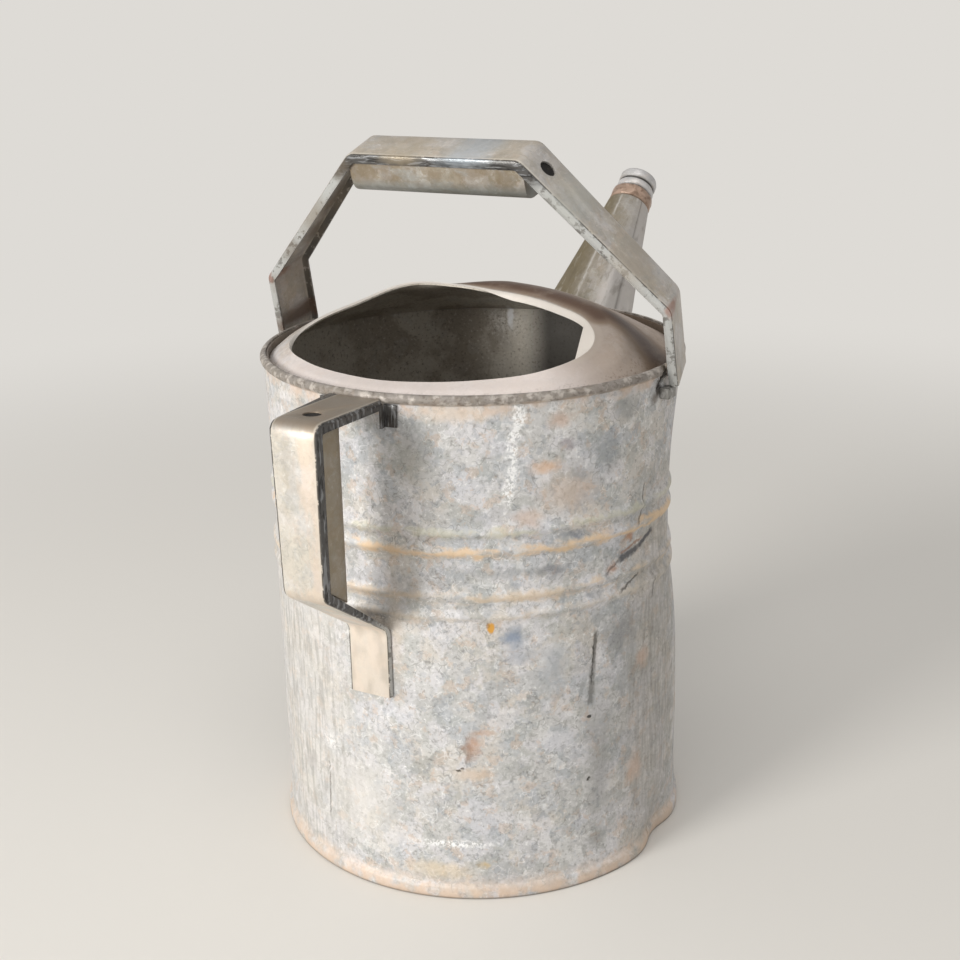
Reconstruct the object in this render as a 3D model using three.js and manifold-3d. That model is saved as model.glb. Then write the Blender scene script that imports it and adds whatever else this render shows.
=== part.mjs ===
// A galvanised sheet-steel watering can, old and knocked about, in millimetres with +Z up.
// The spout leaves towards +X, the rear handle is on -X, and the carry handle spans the top along Y.
// Each sheet piece is a closed skin: its outline is a thin line that is given its wall, then swept
// or turned round the can. Dents are part of the wall's radius, so what fits inside follows them.

import * as THREE from 'three';
import { mergeVertices } from 'three/addons/utils/BufferGeometryUtils.js';
import Module from 'manifold-3d';

// Body
const bodyRadius = 124;
const bodyHeight = 300.5;
const wall = 1.2;
const clearance = 0.3;
const rimBeadRadius = 2.9;
const footHemHeight = 7;
const footHemDepth = 1.9;
const baseRecess = 6;
const swageRise = 1.7;
const swageWidth = 8.5;
const swageHeights = [176.5, 188, 213.5, 224.5];
const plainLevels = [25, 50, 80, 110, 140, 160];
const upperLevels = [55.5, 35.5, 18.5].map((drop) => bodyHeight - drop);

// Damage in the body wall: where it is, how deep, and how far it spreads
const dents = [
  { angle: -64, height: 213, depth: 10.5, spreadAngle: 13, spreadHeight: 45 },
  { angle: -90, height: 0, depth: 6.5, spreadAngle: 6, spreadHeight: 15 },
];
// The torn rim beside the carry handle's right foot: its ragged edge, as distances round the wall
// and up from this place
const tearAngle = -95;
const tearDrop = 11.5;
const tearEdge = [
  [0.5, 14], [-2.5, 8.3], [-1.5, 4], [-6.5, -1], [-1.5, 0.5], [3.5, 3.5], [8.5, 4], [13, 1.5],
  [9.5, 5.5], [6.5, 9], [6, 14],
];

// Hood: a countersunk sheet with a large tilted mouth
const hoodSink = 5;
const hoodWall = 1;
const hoodLip = 4;
const mouthCentre = -37;
const mouthHemDrop = 4;
const mouthRise = 20;
const mouthTilt = 0.241;
const mouthCurl = 0.00053;
const crestOffset = 15;
const crestRise = 3.5;
// On its left side the hood falls straight away from the mouth, with no crest.
const leftCrestOffset = 8;
const leftCrestRise = -3;
// How far the mouth's edge lies from its centre, at every 22.5 degrees from the spout side round
const mouthReach = [
  61, 69.5, 79.5, 82.5, 88.5, 89, 77.5, 69, 66.4, 67, 73.2, 84.6, 91, 82.3, 68.5, 61.7,
];

// Spout: eight folds from a round tip to a tall root on the wall
const spoutFolds = 8;
const spoutTipRadius = 12.8;
const spoutNeckRadius = 15;
const spoutTipReach = 227.5;
const spoutTipRise = 48.5;
const spoutTipSide = -1.2;
const spoutSlope = 41;
const spoutRootDrop = 11.5;
const spoutShoulderDrop = 6;
const spoutRoot = {
  top: bodyHeight - spoutRootDrop,
  shoulder: bodyHeight - spoutRootDrop - spoutShoulderDrop,
  side: 215,
  haunch: 163,
  bottom: 150,
};
const spoutShoulderHalf = 24;
const spoutSideHalf = 40;
const spoutPort = 24;
const solderWidth = 3;

// Ferrule that takes the rose: distances along the spout from its lower end
const ferruleBore = 10.6;
const ferruleLap = 8;
const ferruleLength = 26.4;
const collarRadius = 14.8;
const collarLength = 11;
const ferruleRingRadius = 13.4;
const ferruleGroove = 0.9;

// Handles: pressed channel straps with a rounded grip trough
const strapWidth = 30;
const strapDepth = 5.5;
const strapCorner = 2.4;
const strapBend = 8;
const carryGripDepth = 25.5;
const rearGripDepth = 29;
const gripFullness = 2.6;
const gripWall = 1;
const ventRadius = 5;
const carryLean = 17;
const carryForward = 4;
const carryHeight = 121.5;
const carryTopHalf = 54;
const carryKinkHeight = 38.5;
const carryKinkOut = 6;
const carryToe = 12;
// How far out from the body each foot hangs, how far below the rim it ends, and its solder's height
const carryFeet = {
  left: { out: 10.5, drop: 17, solder: 8 },
  right: { out: 5.6, drop: 8, solder: 6 },
};
const carryVentInset = 14;
const rearTopDrop = 1.1;
const rearSag = 1.8;
const rearStandOff = 63;
const rearGripRun = 93.4;
// How far the rear strap reaches to the left and right of its middle, from the rim down to its tab
const rearHalves = { rim: [20, 15], top: [14.2, 15], bend: [11.5, 15], tab: [14.5, 12.6] };
const rearLowerDrop = 41;
const rearTabLength = 40;
const rearTabDepth = 2.6;
const rearVentInset = 19;
const earHeight = 12;
const earWidth = 7;

// Facets
const roundSteps = 56;
const bendSteps = 4;
const beadSteps = 6;
const patchSteps = 6;
const troughSteps = 12;
const holeSteps = 16;
const boreSteps = 24;

const turn = THREE.MathUtils.degToRad;
const fullTurn = 2 * Math.PI;
const wasm = await Module();
wasm.setup();

// Materials
const weatheredZinc = { color: 0xa9a59e, roughness: 0.62, metalness: 0.35 };
const stainedZinc = { color: 0x8b7c6d, roughness: 0.7, metalness: 0.3 };
const handledZinc = { color: 0x9a958a, roughness: 0.45, metalness: 0.5 };
const oldSolder = { color: 0x8d8a85, roughness: 0.55, metalness: 0.45 };

// Mesh helpers

// A closed surface gets its faces turned outwards, by the sign of its volume.
function outward(geometry) {
  const position = geometry.getAttribute('position');
  const index = geometry.getIndex();
  const corners = [new THREE.Vector3(), new THREE.Vector3(), new THREE.Vector3()];
  let volume = 0;
  for (let i = 0; i < index.count; i += 3) {
    corners.forEach((corner, k) => corner.fromBufferAttribute(position, index.getX(i + k)));
    volume += corners[0].dot(corners[1].clone().cross(corners[2]));
  }
  if (volume < 0) {
    for (let i = 0; i < index.count; i += 3) {
      const second = index.getX(i + 1);
      index.setX(i + 1, index.getX(i + 2));
      index.setX(i + 2, second);
    }
  }
  return geometry;
}

function fromPoints(points, faces) {
  const geometry = new THREE.BufferGeometry();
  const numbers = points.flatMap((p) => [p.x, p.y, p.z]);
  geometry.setAttribute('position', new THREE.Float32BufferAttribute(numbers, 3));
  geometry.setIndex(faces);
  return outward(geometry);
}

function bridge(faces, from, to, count) {
  for (let i = 0; i < count; i++) {
    const next = (i + 1) % count;
    faces.push(from + i, from + next, to + next, from + i, to + next, to + i);
  }
}

// Rings of points, each joined to the next and the last one to the first, make a closed tube wall.
function ringSkin(rings) {
  const count = rings[0].length;
  const faces = [];
  rings.forEach((_, r) => bridge(faces, r * count, ((r + 1) % rings.length) * count, count));
  return fromPoints(rings.flat(), faces);
}

// Rings of points between two middle points make a closed disc or plug.
function discSkin(first, rings, last) {
  const count = rings[0].length;
  const points = [...rings.flat(), first, last];
  const faces = [];
  for (let r = 0; r + 1 < rings.length; r++) bridge(faces, r * count, (r + 1) * count, count);
  const end = (rings.length - 1) * count;
  for (let i = 0; i < count; i++) {
    const next = (i + 1) % count;
    faces.push(points.length - 2, next, i, points.length - 1, end + i, end + next);
  }
  return fromPoints(points, faces);
}

// A thin open line becomes a closed outline: the line, then its offset by the wall, backwards.
function thicken(line, thickness) {
  const offset = line.map((point, i) => {
    const before = line[Math.max(i - 1, 0)];
    const after = line[Math.min(i + 1, line.length - 1)];
    const into = point.clone().sub(before).normalize();
    const out = after.clone().sub(point).normalize();
    if (i === 0) into.copy(out);
    if (i === line.length - 1) out.copy(into);
    const normal = new THREE.Vector2(-into.y - out.y, into.x + out.x).normalize();
    const stretch = Math.max(normal.dot(new THREE.Vector2(-into.y, into.x)), 0.5);
    return point.clone().addScaledVector(normal, thickness / stretch);
  });
  return [...line, ...offset.reverse()];
}

// A route of straight runs gets its corners rounded.
function roundedRoute(corners, radius) {
  const route = [corners[0]];
  for (let i = 1; i + 1 < corners.length; i++) {
    const into = corners[i].clone().sub(corners[i - 1]).normalize();
    const out = corners[i + 1].clone().sub(corners[i]).normalize();
    const bend = Math.acos(THREE.MathUtils.clamp(into.dot(out), -1, 1));
    const reach = radius * Math.tan(bend / 2);
    const start = corners[i].clone().addScaledVector(into, -reach);
    const end = corners[i].clone().addScaledVector(out, reach);
    const curve = new THREE.QuadraticBezierCurve(start, corners[i], end);
    route.push(...curve.getPoints(bendSteps));
  }
  route.push(corners[corners.length - 1]);
  return route;
}

// Rings of points with a flat face at each end; the outlines say how each end is filled.
function cappedSkin(rings, firstOutline, lastOutline) {
  const count = rings[0].length;
  const faces = [];
  for (let r = 0; r + 1 < rings.length; r++) bridge(faces, r * count, (r + 1) * count, count);
  faces.push(...capFaces(firstOutline, 0, false));
  faces.push(...capFaces(lastOutline, (rings.length - 1) * count, true));
  return fromPoints(rings.flat(), faces);
}

function capFaces(outline, first, forward) {
  const keep = THREE.ShapeUtils.isClockWise(outline) !== forward;
  return THREE.ShapeUtils.triangulateShape(outline, [])
    .flatMap(([a, b, c]) => (keep ? [a, b, c] : [a, c, b]))
    .map((i) => i + first);
}

// An outline is carried along a flat route; place() puts (across, along, up) into the can's frame.
function sweep(route, outlineAt, place) {
  const rings = route.map((point, i) => {
    const before = route[Math.max(i - 1, 0)];
    const after = route[Math.min(i + 1, route.length - 1)];
    const into = (i ? point.clone().sub(before) : after.clone().sub(point)).normalize();
    const out = (i + 1 < route.length ? after.clone().sub(point) : into.clone()).normalize();
    const normal = new THREE.Vector2(-into.y - out.y, into.x + out.x).normalize();
    const stretch = normal.dot(new THREE.Vector2(-into.y, into.x));
    return outlineAt(i).map((p) => {
      const at = point.clone().addScaledVector(normal, p.y / stretch);
      return place(p.x, at.x, at.y);
    });
  });
  return cappedSkin(rings, outlineAt(0), outlineAt(route.length - 1));
}

// Joins and cuts
function toSolid(geometry) {
  const bare = geometry.clone();
  bare.deleteAttribute('normal');
  bare.deleteAttribute('uv');
  const merged = mergeVertices(bare, 1e-4);
  return new wasm.Manifold(new wasm.Mesh({
    numProp: 3,
    vertProperties: new Float32Array(merged.getAttribute('position').array),
    triVerts: new Uint32Array(merged.getIndex().array),
  }));
}

function fromSolid(solid) {
  const mesh = solid.getMesh();
  const geometry = new THREE.BufferGeometry();
  geometry.setAttribute('position', new THREE.BufferAttribute(mesh.vertProperties, 3));
  geometry.setIndex(new THREE.BufferAttribute(mesh.triVerts, 1));
  return geometry;
}

function cut(body, ...tools) {
  return fromSolid(tools.reduce((solid, tool) => solid.subtract(toSolid(tool)), toSolid(body)));
}

function join(body, ...more) {
  return fromSolid(more.reduce((solid, next) => solid.add(toSolid(next)), toSolid(body)));
}

// Shapes on the can's round wall

function onCircle(angle, radius, height) {
  return new THREE.Vector3(radius * Math.cos(angle), radius * Math.sin(angle), height);
}

// The wall stays plain up to here, just under the rolled rim.
const beadFoot = bodyHeight - 2 * rimBeadRadius - clearance;

// How far the dents push the wall in at a place.
function dentDepth(angle, height) {
  return dents.reduce((sum, dent) => {
    const away = THREE.MathUtils.euclideanModulo(angle - turn(dent.angle) + Math.PI, fullTurn) - Math.PI;
    const a = away / turn(dent.spreadAngle);
    const h = (height - dent.height) / dent.spreadHeight;
    return sum + dent.depth * Math.exp(-(a * a + h * h) / 2);
  }, 0);
}

// How far the swaged ridges stand out; they fade beside the spout's root.
function swage(angle, height) {
  const away = Math.abs(THREE.MathUtils.euclideanModulo(angle + Math.PI, fullTurn) - Math.PI);
  const root = Math.asin((spoutSideHalf + 2 * solderWidth) / bodyRadius);
  const fade = THREE.MathUtils.smoothstep(away, root, root + turn(8));
  return fade * swageHeights.reduce((sum, at) => {
    const t = Math.abs(height - at) / (swageWidth / 2);
    return sum + (t < 1 ? swageRise * (0.5 + 0.5 * Math.cos(Math.PI * t)) : 0);
  }, 0);
}

// A ring that stands off the dented and ridged wall by a fixed amount.
function ringAt(standOff, height) {
  return Array.from({ length: roundSteps }, (_, i) => {
    const angle = (i / roundSteps) * fullTurn;
    const radius = bodyRadius + standOff + swage(angle, height) - dentDepth(angle, height);
    return onCircle(angle, radius, height);
  });
}

// A plate that lies round the wall on both sides of an angle.
function wallPatch(middle, halfWidth, inner, outer, low, high) {
  const half = halfWidth / inner;
  const corners = [[inner, low], [outer, low], [outer, high], [inner, high]];
  const outline = corners.map((p) => new THREE.Vector2(...p));
  const rings = Array.from({ length: patchSteps + 1 }, (_, i) => {
    const angle = middle + half * ((2 * i) / patchSteps - 1);
    return outline.map((p) => onCircle(angle, p.x, p.y));
  });
  return cappedSkin(rings, outline, outline);
}

// Body

function bodyShell() {
  const beadHeight = bodyHeight - rimBeadRadius;
  const hemTop = footHemHeight + footHemDepth;
  const ridges = swageHeights.flatMap((at) => [at - swageWidth / 2, at, at + swageWidth / 2]);
  const levels = [...plainLevels, ...new Set(ridges), ...upperLevels, beadFoot];
  const outer = [ringAt(footHemDepth, 0), ringAt(footHemDepth, footHemHeight), ringAt(0, hemTop)];
  const bead = Array.from({ length: beadSteps }, (_, i) => {
    const angle = turn(-70 + (240 * i) / (beadSteps - 1));
    const standOff = Math.max(rimBeadRadius * Math.cos(angle) - wall / 2, -wall);
    return ringAt(standOff, beadHeight + rimBeadRadius * Math.sin(angle));
  });
  outer.push(...levels.map((z) => ringAt(0, z)), ...bead);
  const inner = [...levels.toReversed(), hemTop, 0].map((z) => ringAt(-wall, z));
  return cut(ringSkin([...outer, ...inner]), spoutPortTool(), tearTool());
}

// The port lets water through the wall into the spout.
function spoutPortTool() {
  const tool = new THREE.CylinderGeometry(spoutPort, spoutPort, spoutPort, boreSteps);
  return tool.rotateZ(Math.PI / 2).translate(bodyRadius, 0, (spoutRoot.side + spoutRoot.haunch) / 2);
}

function tearTool() {
  const shape = new THREE.Shape(tearEdge.map((p) => new THREE.Vector2(...p)));
  const tool = new THREE.ExtrudeGeometry(shape, { depth: 8 * wall, bevelEnabled: false, steps: 1 });
  tool.rotateX(Math.PI / 2).rotateZ(Math.PI / 2);
  return tool.translate(bodyRadius - 4 * wall, 0, bodyHeight - tearDrop).rotateZ(turn(tearAngle));
}

function baseDisc() {
  const edge = -wall - clearance;
  const top = baseRecess + wall;
  const rings = [
    ringAt(edge - wall, baseRecess), ringAt(edge - wall, 0), ringAt(edge, 0), ringAt(edge, top),
  ];
  return discSkin(new THREE.Vector3(0, 0, baseRecess), rings, new THREE.Vector3(0, 0, top));
}

// Hood

function mouthEdge(angle) {
  const place = (angle / fullTurn) * mouthReach.length;
  const first = Math.floor(place);
  const pick = (k) => mouthReach[THREE.MathUtils.euclideanModulo(first + k, mouthReach.length)];
  const t = place - first;
  const slope = (k) => (pick(k + 1) - pick(k - 1)) / 2;
  const reach = (2 * t ** 3 - 3 * t ** 2 + 1) * pick(0) + (t ** 3 - 2 * t ** 2 + t) * slope(0)
    + (-2 * t ** 3 + 3 * t ** 2) * pick(1) + (t ** 3 - t ** 2) * slope(1);
  const x = mouthCentre + reach * Math.cos(angle);
  return { reach, height: bodyHeight + mouthRise + mouthTilt * x + mouthCurl * x * x };
}

// Distance from the mouth's centre to a circle round the can's axis.
function reachToCircle(angle, radius) {
  const along = mouthCentre * Math.cos(angle);
  return -along + Math.sqrt(along * along - mouthCentre * mouthCentre + radius * radius);
}

function hood() {
  const lipRadius = bodyRadius - wall - clearance - hoodWall;
  const seat = bodyHeight - hoodSink;
  const columns = Array.from({ length: roundSteps }, (_, i) => {
    const angle = (i / roundSteps) * fullTurn;
    const edge = mouthEdge(angle);
    const foot = reachToCircle(angle, lipRadius - 0.4);
    const front = THREE.MathUtils.smoothstep(Math.cos(angle), -0.15, 0.55);
    const left = THREE.MathUtils.smoothstep(Math.sin(angle), -0.1, 0.6);
    const middle = (edge.reach + foot) / 2;
    const offset = THREE.MathUtils.lerp(crestOffset, leftCrestOffset, left);
    const rise = THREE.MathUtils.lerp(crestRise, leftCrestRise, left);
    const crest = new THREE.Vector2(
      THREE.MathUtils.lerp(middle, edge.reach + offset, front),
      THREE.MathUtils.lerp((edge.height + seat) / 2 + 1.2, edge.height + rise, front),
    );
    const fall = new THREE.Vector2((crest.x + foot) / 2, (crest.y + seat) / 2 + 1.5 * front);
    const line = [
      new THREE.Vector2(edge.reach - 0.8, edge.height - mouthHemDrop),
      new THREE.Vector2(edge.reach - 0.3, edge.height - 0.8),
      new THREE.Vector2(edge.reach + 0.7, edge.height),
      crest,
      fall,
      new THREE.Vector2(foot, seat),
      new THREE.Vector2(foot + 0.4, seat + hoodLip),
    ];
    return thicken(line, -hoodWall).map((p) => withDents(new THREE.Vector3(
      mouthCentre + p.x * Math.cos(angle), p.x * Math.sin(angle), p.y,
    )));
  });
  return ringSkin(columns);
}

// A point near the wall moves in with the wall's dents.
function withDents(point) {
  const radius = Math.hypot(point.x, point.y);
  const near = THREE.MathUtils.smoothstep(radius, bodyRadius * 0.7, bodyRadius * 0.97);
  const shrink = 1 - (near * dentDepth(Math.atan2(point.y, point.x), point.z)) / radius;
  return new THREE.Vector3(point.x * shrink, point.y * shrink, point.z);
}

// Spout

const spoutAxis = new THREE.Vector3(Math.cos(turn(spoutSlope)), 0, Math.sin(turn(spoutSlope)));
const spoutTip = new THREE.Vector3(spoutTipReach, spoutTipSide, bodyHeight + spoutTipRise);

// The spout's root on the wall, grown or shrunk about its middle. Each flat has a middle point too.
function rootRing(grow, radius) {
  const middle = (spoutRoot.top + spoutRoot.bottom) / 2;
  const wide = 1 + grow / spoutSideHalf;
  const tall = 1 + grow / (spoutRoot.top - middle);
  const corners = [
    [0, spoutRoot.top], [spoutShoulderHalf, spoutRoot.shoulder], [spoutSideHalf, spoutRoot.side],
    [spoutShoulderHalf, spoutRoot.haunch], [0, spoutRoot.bottom], [-spoutShoulderHalf, spoutRoot.haunch],
    [-spoutSideHalf, spoutRoot.side], [-spoutShoulderHalf, spoutRoot.shoulder],
  ];
  const points = corners.map(([half, height]) => (
    new THREE.Vector3(0, half * wide, middle + (height - middle) * tall)
  ));
  return points
    .flatMap((point, i) => [point, point.clone().lerp(points[(i + 1) % points.length], 0.5)])
    .map((point) => ontoWall(point, radius));
}

function ontoWall(point, radius) {
  return new THREE.Vector3(Math.sqrt(radius * radius - point.y * point.y), point.y, point.z);
}

function tipRing(radius, along) {
  const up = new THREE.Vector3(-spoutAxis.z, 0, spoutAxis.x);
  const centre = spoutTip.clone().addScaledVector(spoutAxis, along);
  return Array.from({ length: 2 * spoutFolds }, (_, i) => {
    const angle = (i / (2 * spoutFolds)) * fullTurn;
    return centre.clone()
      .addScaledVector(up, radius * Math.cos(angle))
      .add(new THREE.Vector3(0, radius * Math.sin(angle), 0));
  });
}

// The folded tube necks down under the ferrule and laps inside it.
function spoutTube() {
  const seat = bodyRadius + clearance;
  const lapEnd = ferruleLap - clearance;
  return ringSkin([
    rootRing(0, seat), tipRing(spoutNeckRadius, 0), tipRing(spoutTipRadius, wall / 2),
    tipRing(spoutTipRadius, lapEnd), tipRing(spoutTipRadius - wall, lapEnd),
    tipRing(spoutTipRadius - wall, -wall / 2), tipRing(spoutNeckRadius - wall, -wall),
    rootRing(-wall, seat),
  ]);
}

// A fillet of solder round the spout's root, on the wall and beside the sheet.
function spoutSolder() {
  const low = bodyRadius + clearance;
  const beside = 2 * clearance;
  const rise = solderWidth * 0.4;
  return ringSkin([
    rootRing(beside, low), rootRing(beside + solderWidth, low),
    rootRing(beside + solderWidth * 0.7, low + rise), rootRing(beside + rise, low + rise),
  ]);
}

function ferrule() {
  const lapBore = spoutTipRadius + 1.4 * clearance;
  const start = wall;
  const groove = ferruleRingRadius - ferruleGroove;
  const ringEnd = (collarLength + ferruleLength) / 2;
  const profile = [
    [lapBore, start], [collarRadius - 1.2, start], [collarRadius, start + 2],
    [collarRadius, collarLength - 2], [collarRadius - 1, collarLength],
    [groove, collarLength + 0.6], [ferruleRingRadius, collarLength + 1.6],
    [ferruleRingRadius, ringEnd - 1], [groove, ringEnd], [ferruleRingRadius, ringEnd + 1],
    [ferruleRingRadius, ferruleLength - 1], [ferruleRingRadius - 1, ferruleLength],
    [ferruleBore, ferruleLength], [ferruleBore, ferruleLap + clearance],
    [lapBore, ferruleLap + clearance],
  ];
  const outline = [...profile, profile[0]].map((p) => new THREE.Vector2(...p));
  const geometry = new THREE.LatheGeometry(outline, boreSteps);
  geometry.rotateX(Math.PI / 2).rotateY(turn(90 - spoutSlope));
  return geometry.translate(spoutTip.x, spoutTip.y, spoutTip.z);
}

// Handles

// The pressed channel's outline: open side down, with its web's outer face at zero.
function channel(depth, left = strapWidth / 2, right = strapWidth / 2) {
  const half = strapWidth / 2;
  const line = [new THREE.Vector2(-half, -depth)];
  for (const share of [0, 0.5, 1]) {
    const a = share * Math.PI / 2;
    const across = -half + strapCorner * (1 - Math.cos(a));
    line.push(new THREE.Vector2(across, -strapCorner * (1 - Math.sin(a))));
  }
  const mirrored = line.map((p) => new THREE.Vector2(-p.x, p.y)).toReversed();
  return thicken([...line, ...mirrored], -wall)
    .map((p) => new THREE.Vector2(p.x > 0 ? p.x + left - half : p.x + half - right, p.y));
}

// The grip's trough: a rounded boat that closes the channel along the hand's hold.
function gripTrough(length, depth, halvesAt, place) {
  const top = wall / 2 - strapDepth;
  const sag = strapWidth * 0.36;
  const shoulder = sag - depth;
  const soften = (value) => Math.sign(value) * Math.abs(value) ** (2 / gripFullness);
  const outlineAt = (end, inset) => {
    const halves = halvesAt(end).map((half) => half - wall - 2 * clearance - inset);
    const outline = Array.from({ length: troughSteps + 1 }, (_, i) => {
      const angle = Math.PI * (1 + i / troughSteps);
      const across = (Math.cos(angle) > 0 ? halves[0] : halves[1]) * soften(Math.cos(angle));
      return new THREE.Vector2(across, shoulder + (sag - inset) * soften(Math.sin(angle)));
    });
    const open = inset ? top + clearance : top;
    outline.push(new THREE.Vector2(halves[0], open), new THREE.Vector2(-halves[1], open));
    return outline;
  };
  const boat = (inset) => {
    const ends = [-1, 1].map((side) => side * (length / 2 - inset));
    const route = ends.map((along) => new THREE.Vector2(along, 0));
    return sweep(route, (i) => outlineAt(ends[i], inset), place);
  };
  return cut(boat(0), boat(gripWall));
}

const carryKinkReach = bodyRadius + carryKinkOut;

// The carry handle stands in a plane that leans towards the rear handle. Its legs are turned a
// little, so that each foot lies along the round wall.
function carryPlace(across, along, up) {
  const lean = turn(carryLean);
  const leg = THREE.MathUtils.smoothstep(Math.abs(along), carryTopHalf, carryKinkReach);
  const toe = Math.sign(along) * across * Math.tan(turn(carryToe)) * leg;
  return new THREE.Vector3(
    carryForward + across * Math.cos(lean) - up * Math.sin(lean),
    along - toe,
    bodyHeight + across * Math.sin(lean) + up * Math.cos(lean),
  );
}

const rimOuter = bodyRadius - wall / 2 + rimBeadRadius;

function carryHandleStrap() {
  const foot = ({ out, drop }, side) => [side * (bodyRadius + out), -drop];
  const corners = [
    foot(carryFeet.right, -1), [-carryKinkReach, carryKinkHeight], [-carryTopHalf, carryHeight],
    [carryTopHalf, carryHeight], [carryKinkReach, carryKinkHeight], foot(carryFeet.left, 1),
  ].map((p) => new THREE.Vector2(...p));
  const section = channel(strapDepth);
  const strap = sweep(roundedRoute(corners, strapBend), () => section, carryPlace);
  const run = corners[2].clone().sub(corners[1]).normalize();
  const middle = corners[2].clone().addScaledVector(run, -carryVentInset);
  return cut(strap, ventTool(middle, new THREE.Vector2(-run.y, run.x), carryPlace), rimNotch());
}

// The flanges are cut back where the strap passes the rolled rim.
function rimNotch() {
  const reach = rimOuter + clearance;
  const height = 2 * carryFeet.left.drop;
  const tool = new THREE.CylinderGeometry(reach, reach, height, 2 * roundSteps);
  return tool.rotateX(Math.PI / 2).translate(0, 0, bodyHeight + clearance - height / 2);
}

// A round tool that drills the vent through a strap's web.
function ventTool(middle, out, place) {
  const along = new THREE.Vector2(out.y, -out.x);
  const at = (level, across, forward) => {
    const point = middle.clone().addScaledVector(out, level).addScaledVector(along, forward);
    return place(across, point.x, point.y);
  };
  const ring = (level) => Array.from({ length: holeSteps }, (_, i) => {
    const angle = (i / holeSteps) * fullTurn;
    return at(level, ventRadius * Math.cos(angle), ventRadius * Math.sin(angle));
  });
  return discSkin(at(-2 * wall, 0, 0), [ring(-2 * wall), ring(wall)], at(wall, 0, 0));
}

function carryHandleGrip() {
  const length = 2 * carryTopHalf + strapCorner;
  const place = (across, along, up) => carryPlace(across, along, carryHeight + up);
  return gripTrough(length, carryGripDepth, () => [strapWidth / 2, strapWidth / 2], place);
}

// Solder holds each foot to the wall under the rim: behind the left foot, and in a broken lump
// that the peeled right foot now only rests on.
function carryFootSolderLeft() {
  const { out, solder } = carryFeet.left;
  const inner = bodyRadius + clearance;
  const outer = bodyRadius + out - strapDepth;
  return wallPatch(Math.PI / 2 + turn(2), strapWidth * 0.3, inner, outer, beadFoot - solder, beadFoot);
}

function carryFootSolderRight() {
  const { out, drop, solder } = carryFeet.right;
  const inner = bodyRadius + clearance;
  const top = bodyHeight - drop - 0.8 * strapDepth;
  return wallPatch(turn(tearAngle + 1.4), strapWidth * 0.16, inner, bodyRadius + out, top - solder, top);
}

// The rear handle hangs from the rim in the plane through the axis; its reach is measured outwards.
const rearTop = bodyHeight - rearTopDrop;
const rearReach = bodyRadius + rearStandOff;
const rearGripBottom = rearTop - rearGripRun;
const rearTabTop = rearGripBottom - rearLowerDrop;
const rearPlace = (across, reach, up) => new THREE.Vector3(-reach, across, up);

function rearHalvesAt(reach, height) {
  const share = (value, from, to) => THREE.MathUtils.clamp((value - from) / (to - from), 0, 1);
  const out = share(reach, rimOuter, rearReach - strapBend);
  const down = share(height, rearTop, rearGripBottom);
  const atTab = share(height, rearGripBottom, rearTabTop);
  const blend = (from, to, t) => from.map((half, side) => THREE.MathUtils.lerp(half, to[side], t));
  if (height > rearTop - strapBend) return blend(rearHalves.rim, rearHalves.top, out);
  return blend(blend(rearHalves.top, rearHalves.bend, down), rearHalves.tab, atTab);
}

const rearTabHalf = Math.min(...rearHalves.tab);
const rearTabReach = Math.sqrt(bodyRadius ** 2 - rearTabHalf ** 2) + clearance + rearTabDepth;

function rearHandleStrap() {
  const tab = rearTabReach;
  const corners = [
    [rimOuter + clearance, rearTop - rearSag], [rearReach, rearTop], [rearReach, rearGripBottom],
    [tab, rearTabTop], [tab, rearTabTop - rearTabLength],
  ].map((p) => new THREE.Vector2(...p));
  const route = roundedRoute(corners, strapBend);
  const outlineAt = (i) => {
    const below = route[i].y <= rearGripBottom ? 1 : 0;
    const near = 1 - THREE.MathUtils.smoothstep(route[i].x, tab, tab + strapWidth);
    const depth = THREE.MathUtils.lerp(strapDepth, rearTabDepth, below * near);
    return channel(depth, ...rearHalvesAt(route[i].x, route[i].y));
  };
  const strap = join(sweep(route, outlineAt, rearPlace), ...[-1, 1].flatMap(rearEar));
  const vent = new THREE.Vector2(rearReach - rearVentInset, rearTop);
  return cut(strap, ventTool(vent, new THREE.Vector2(0, 1), rearPlace));
}

// At the wall each flange of the rear handle ends in a small ear that is soldered down.
function rearEar(side) {
  const inner = bodyRadius + clearance;
  const flange = rearHalves.rim[side > 0 ? 1 : 0] - wall / 2;
  const middle = (offset) => Math.PI + side * Math.asin(offset / bodyRadius);
  return [
    wallPatch(middle(flange), wall / 2, inner, inner + strapDepth, beadFoot - earHeight, beadFoot),
    wallPatch(
      middle(flange + earWidth / 2), earWidth / 2, inner, inner + wall, beadFoot - earHeight, beadFoot,
    ),
  ];
}

// The rear grip's lower end slopes with the strap's run back to its tab, and stays above its flanges.
function rearHandleGrip() {
  const slope = (rearGripBottom - rearTabTop) / (rearReach - rearTabReach);
  const low = rearGripBottom + (strapDepth + 2 * clearance) * Math.hypot(1, slope);
  const high = rearTop - strapDepth - clearance;
  const middle = (low + high) / 2;
  const length = high - low;
  const place = (across, along, up) => {
    const share = 0.5 - along / length;
    return rearPlace(across, rearReach + up, middle + along + share * slope * up);
  };
  const halvesAt = (along) => rearHalvesAt(rearReach, Math.min(middle + along, rearTop - strapBend));
  return gripTrough(length, rearGripDepth, halvesAt, place);
}

// The can
function piece(name, geometry, finish) {
  const mesh = new THREE.Mesh(geometry, new THREE.MeshStandardMaterial(finish));
  mesh.name = name;
  return mesh;
}

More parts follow.
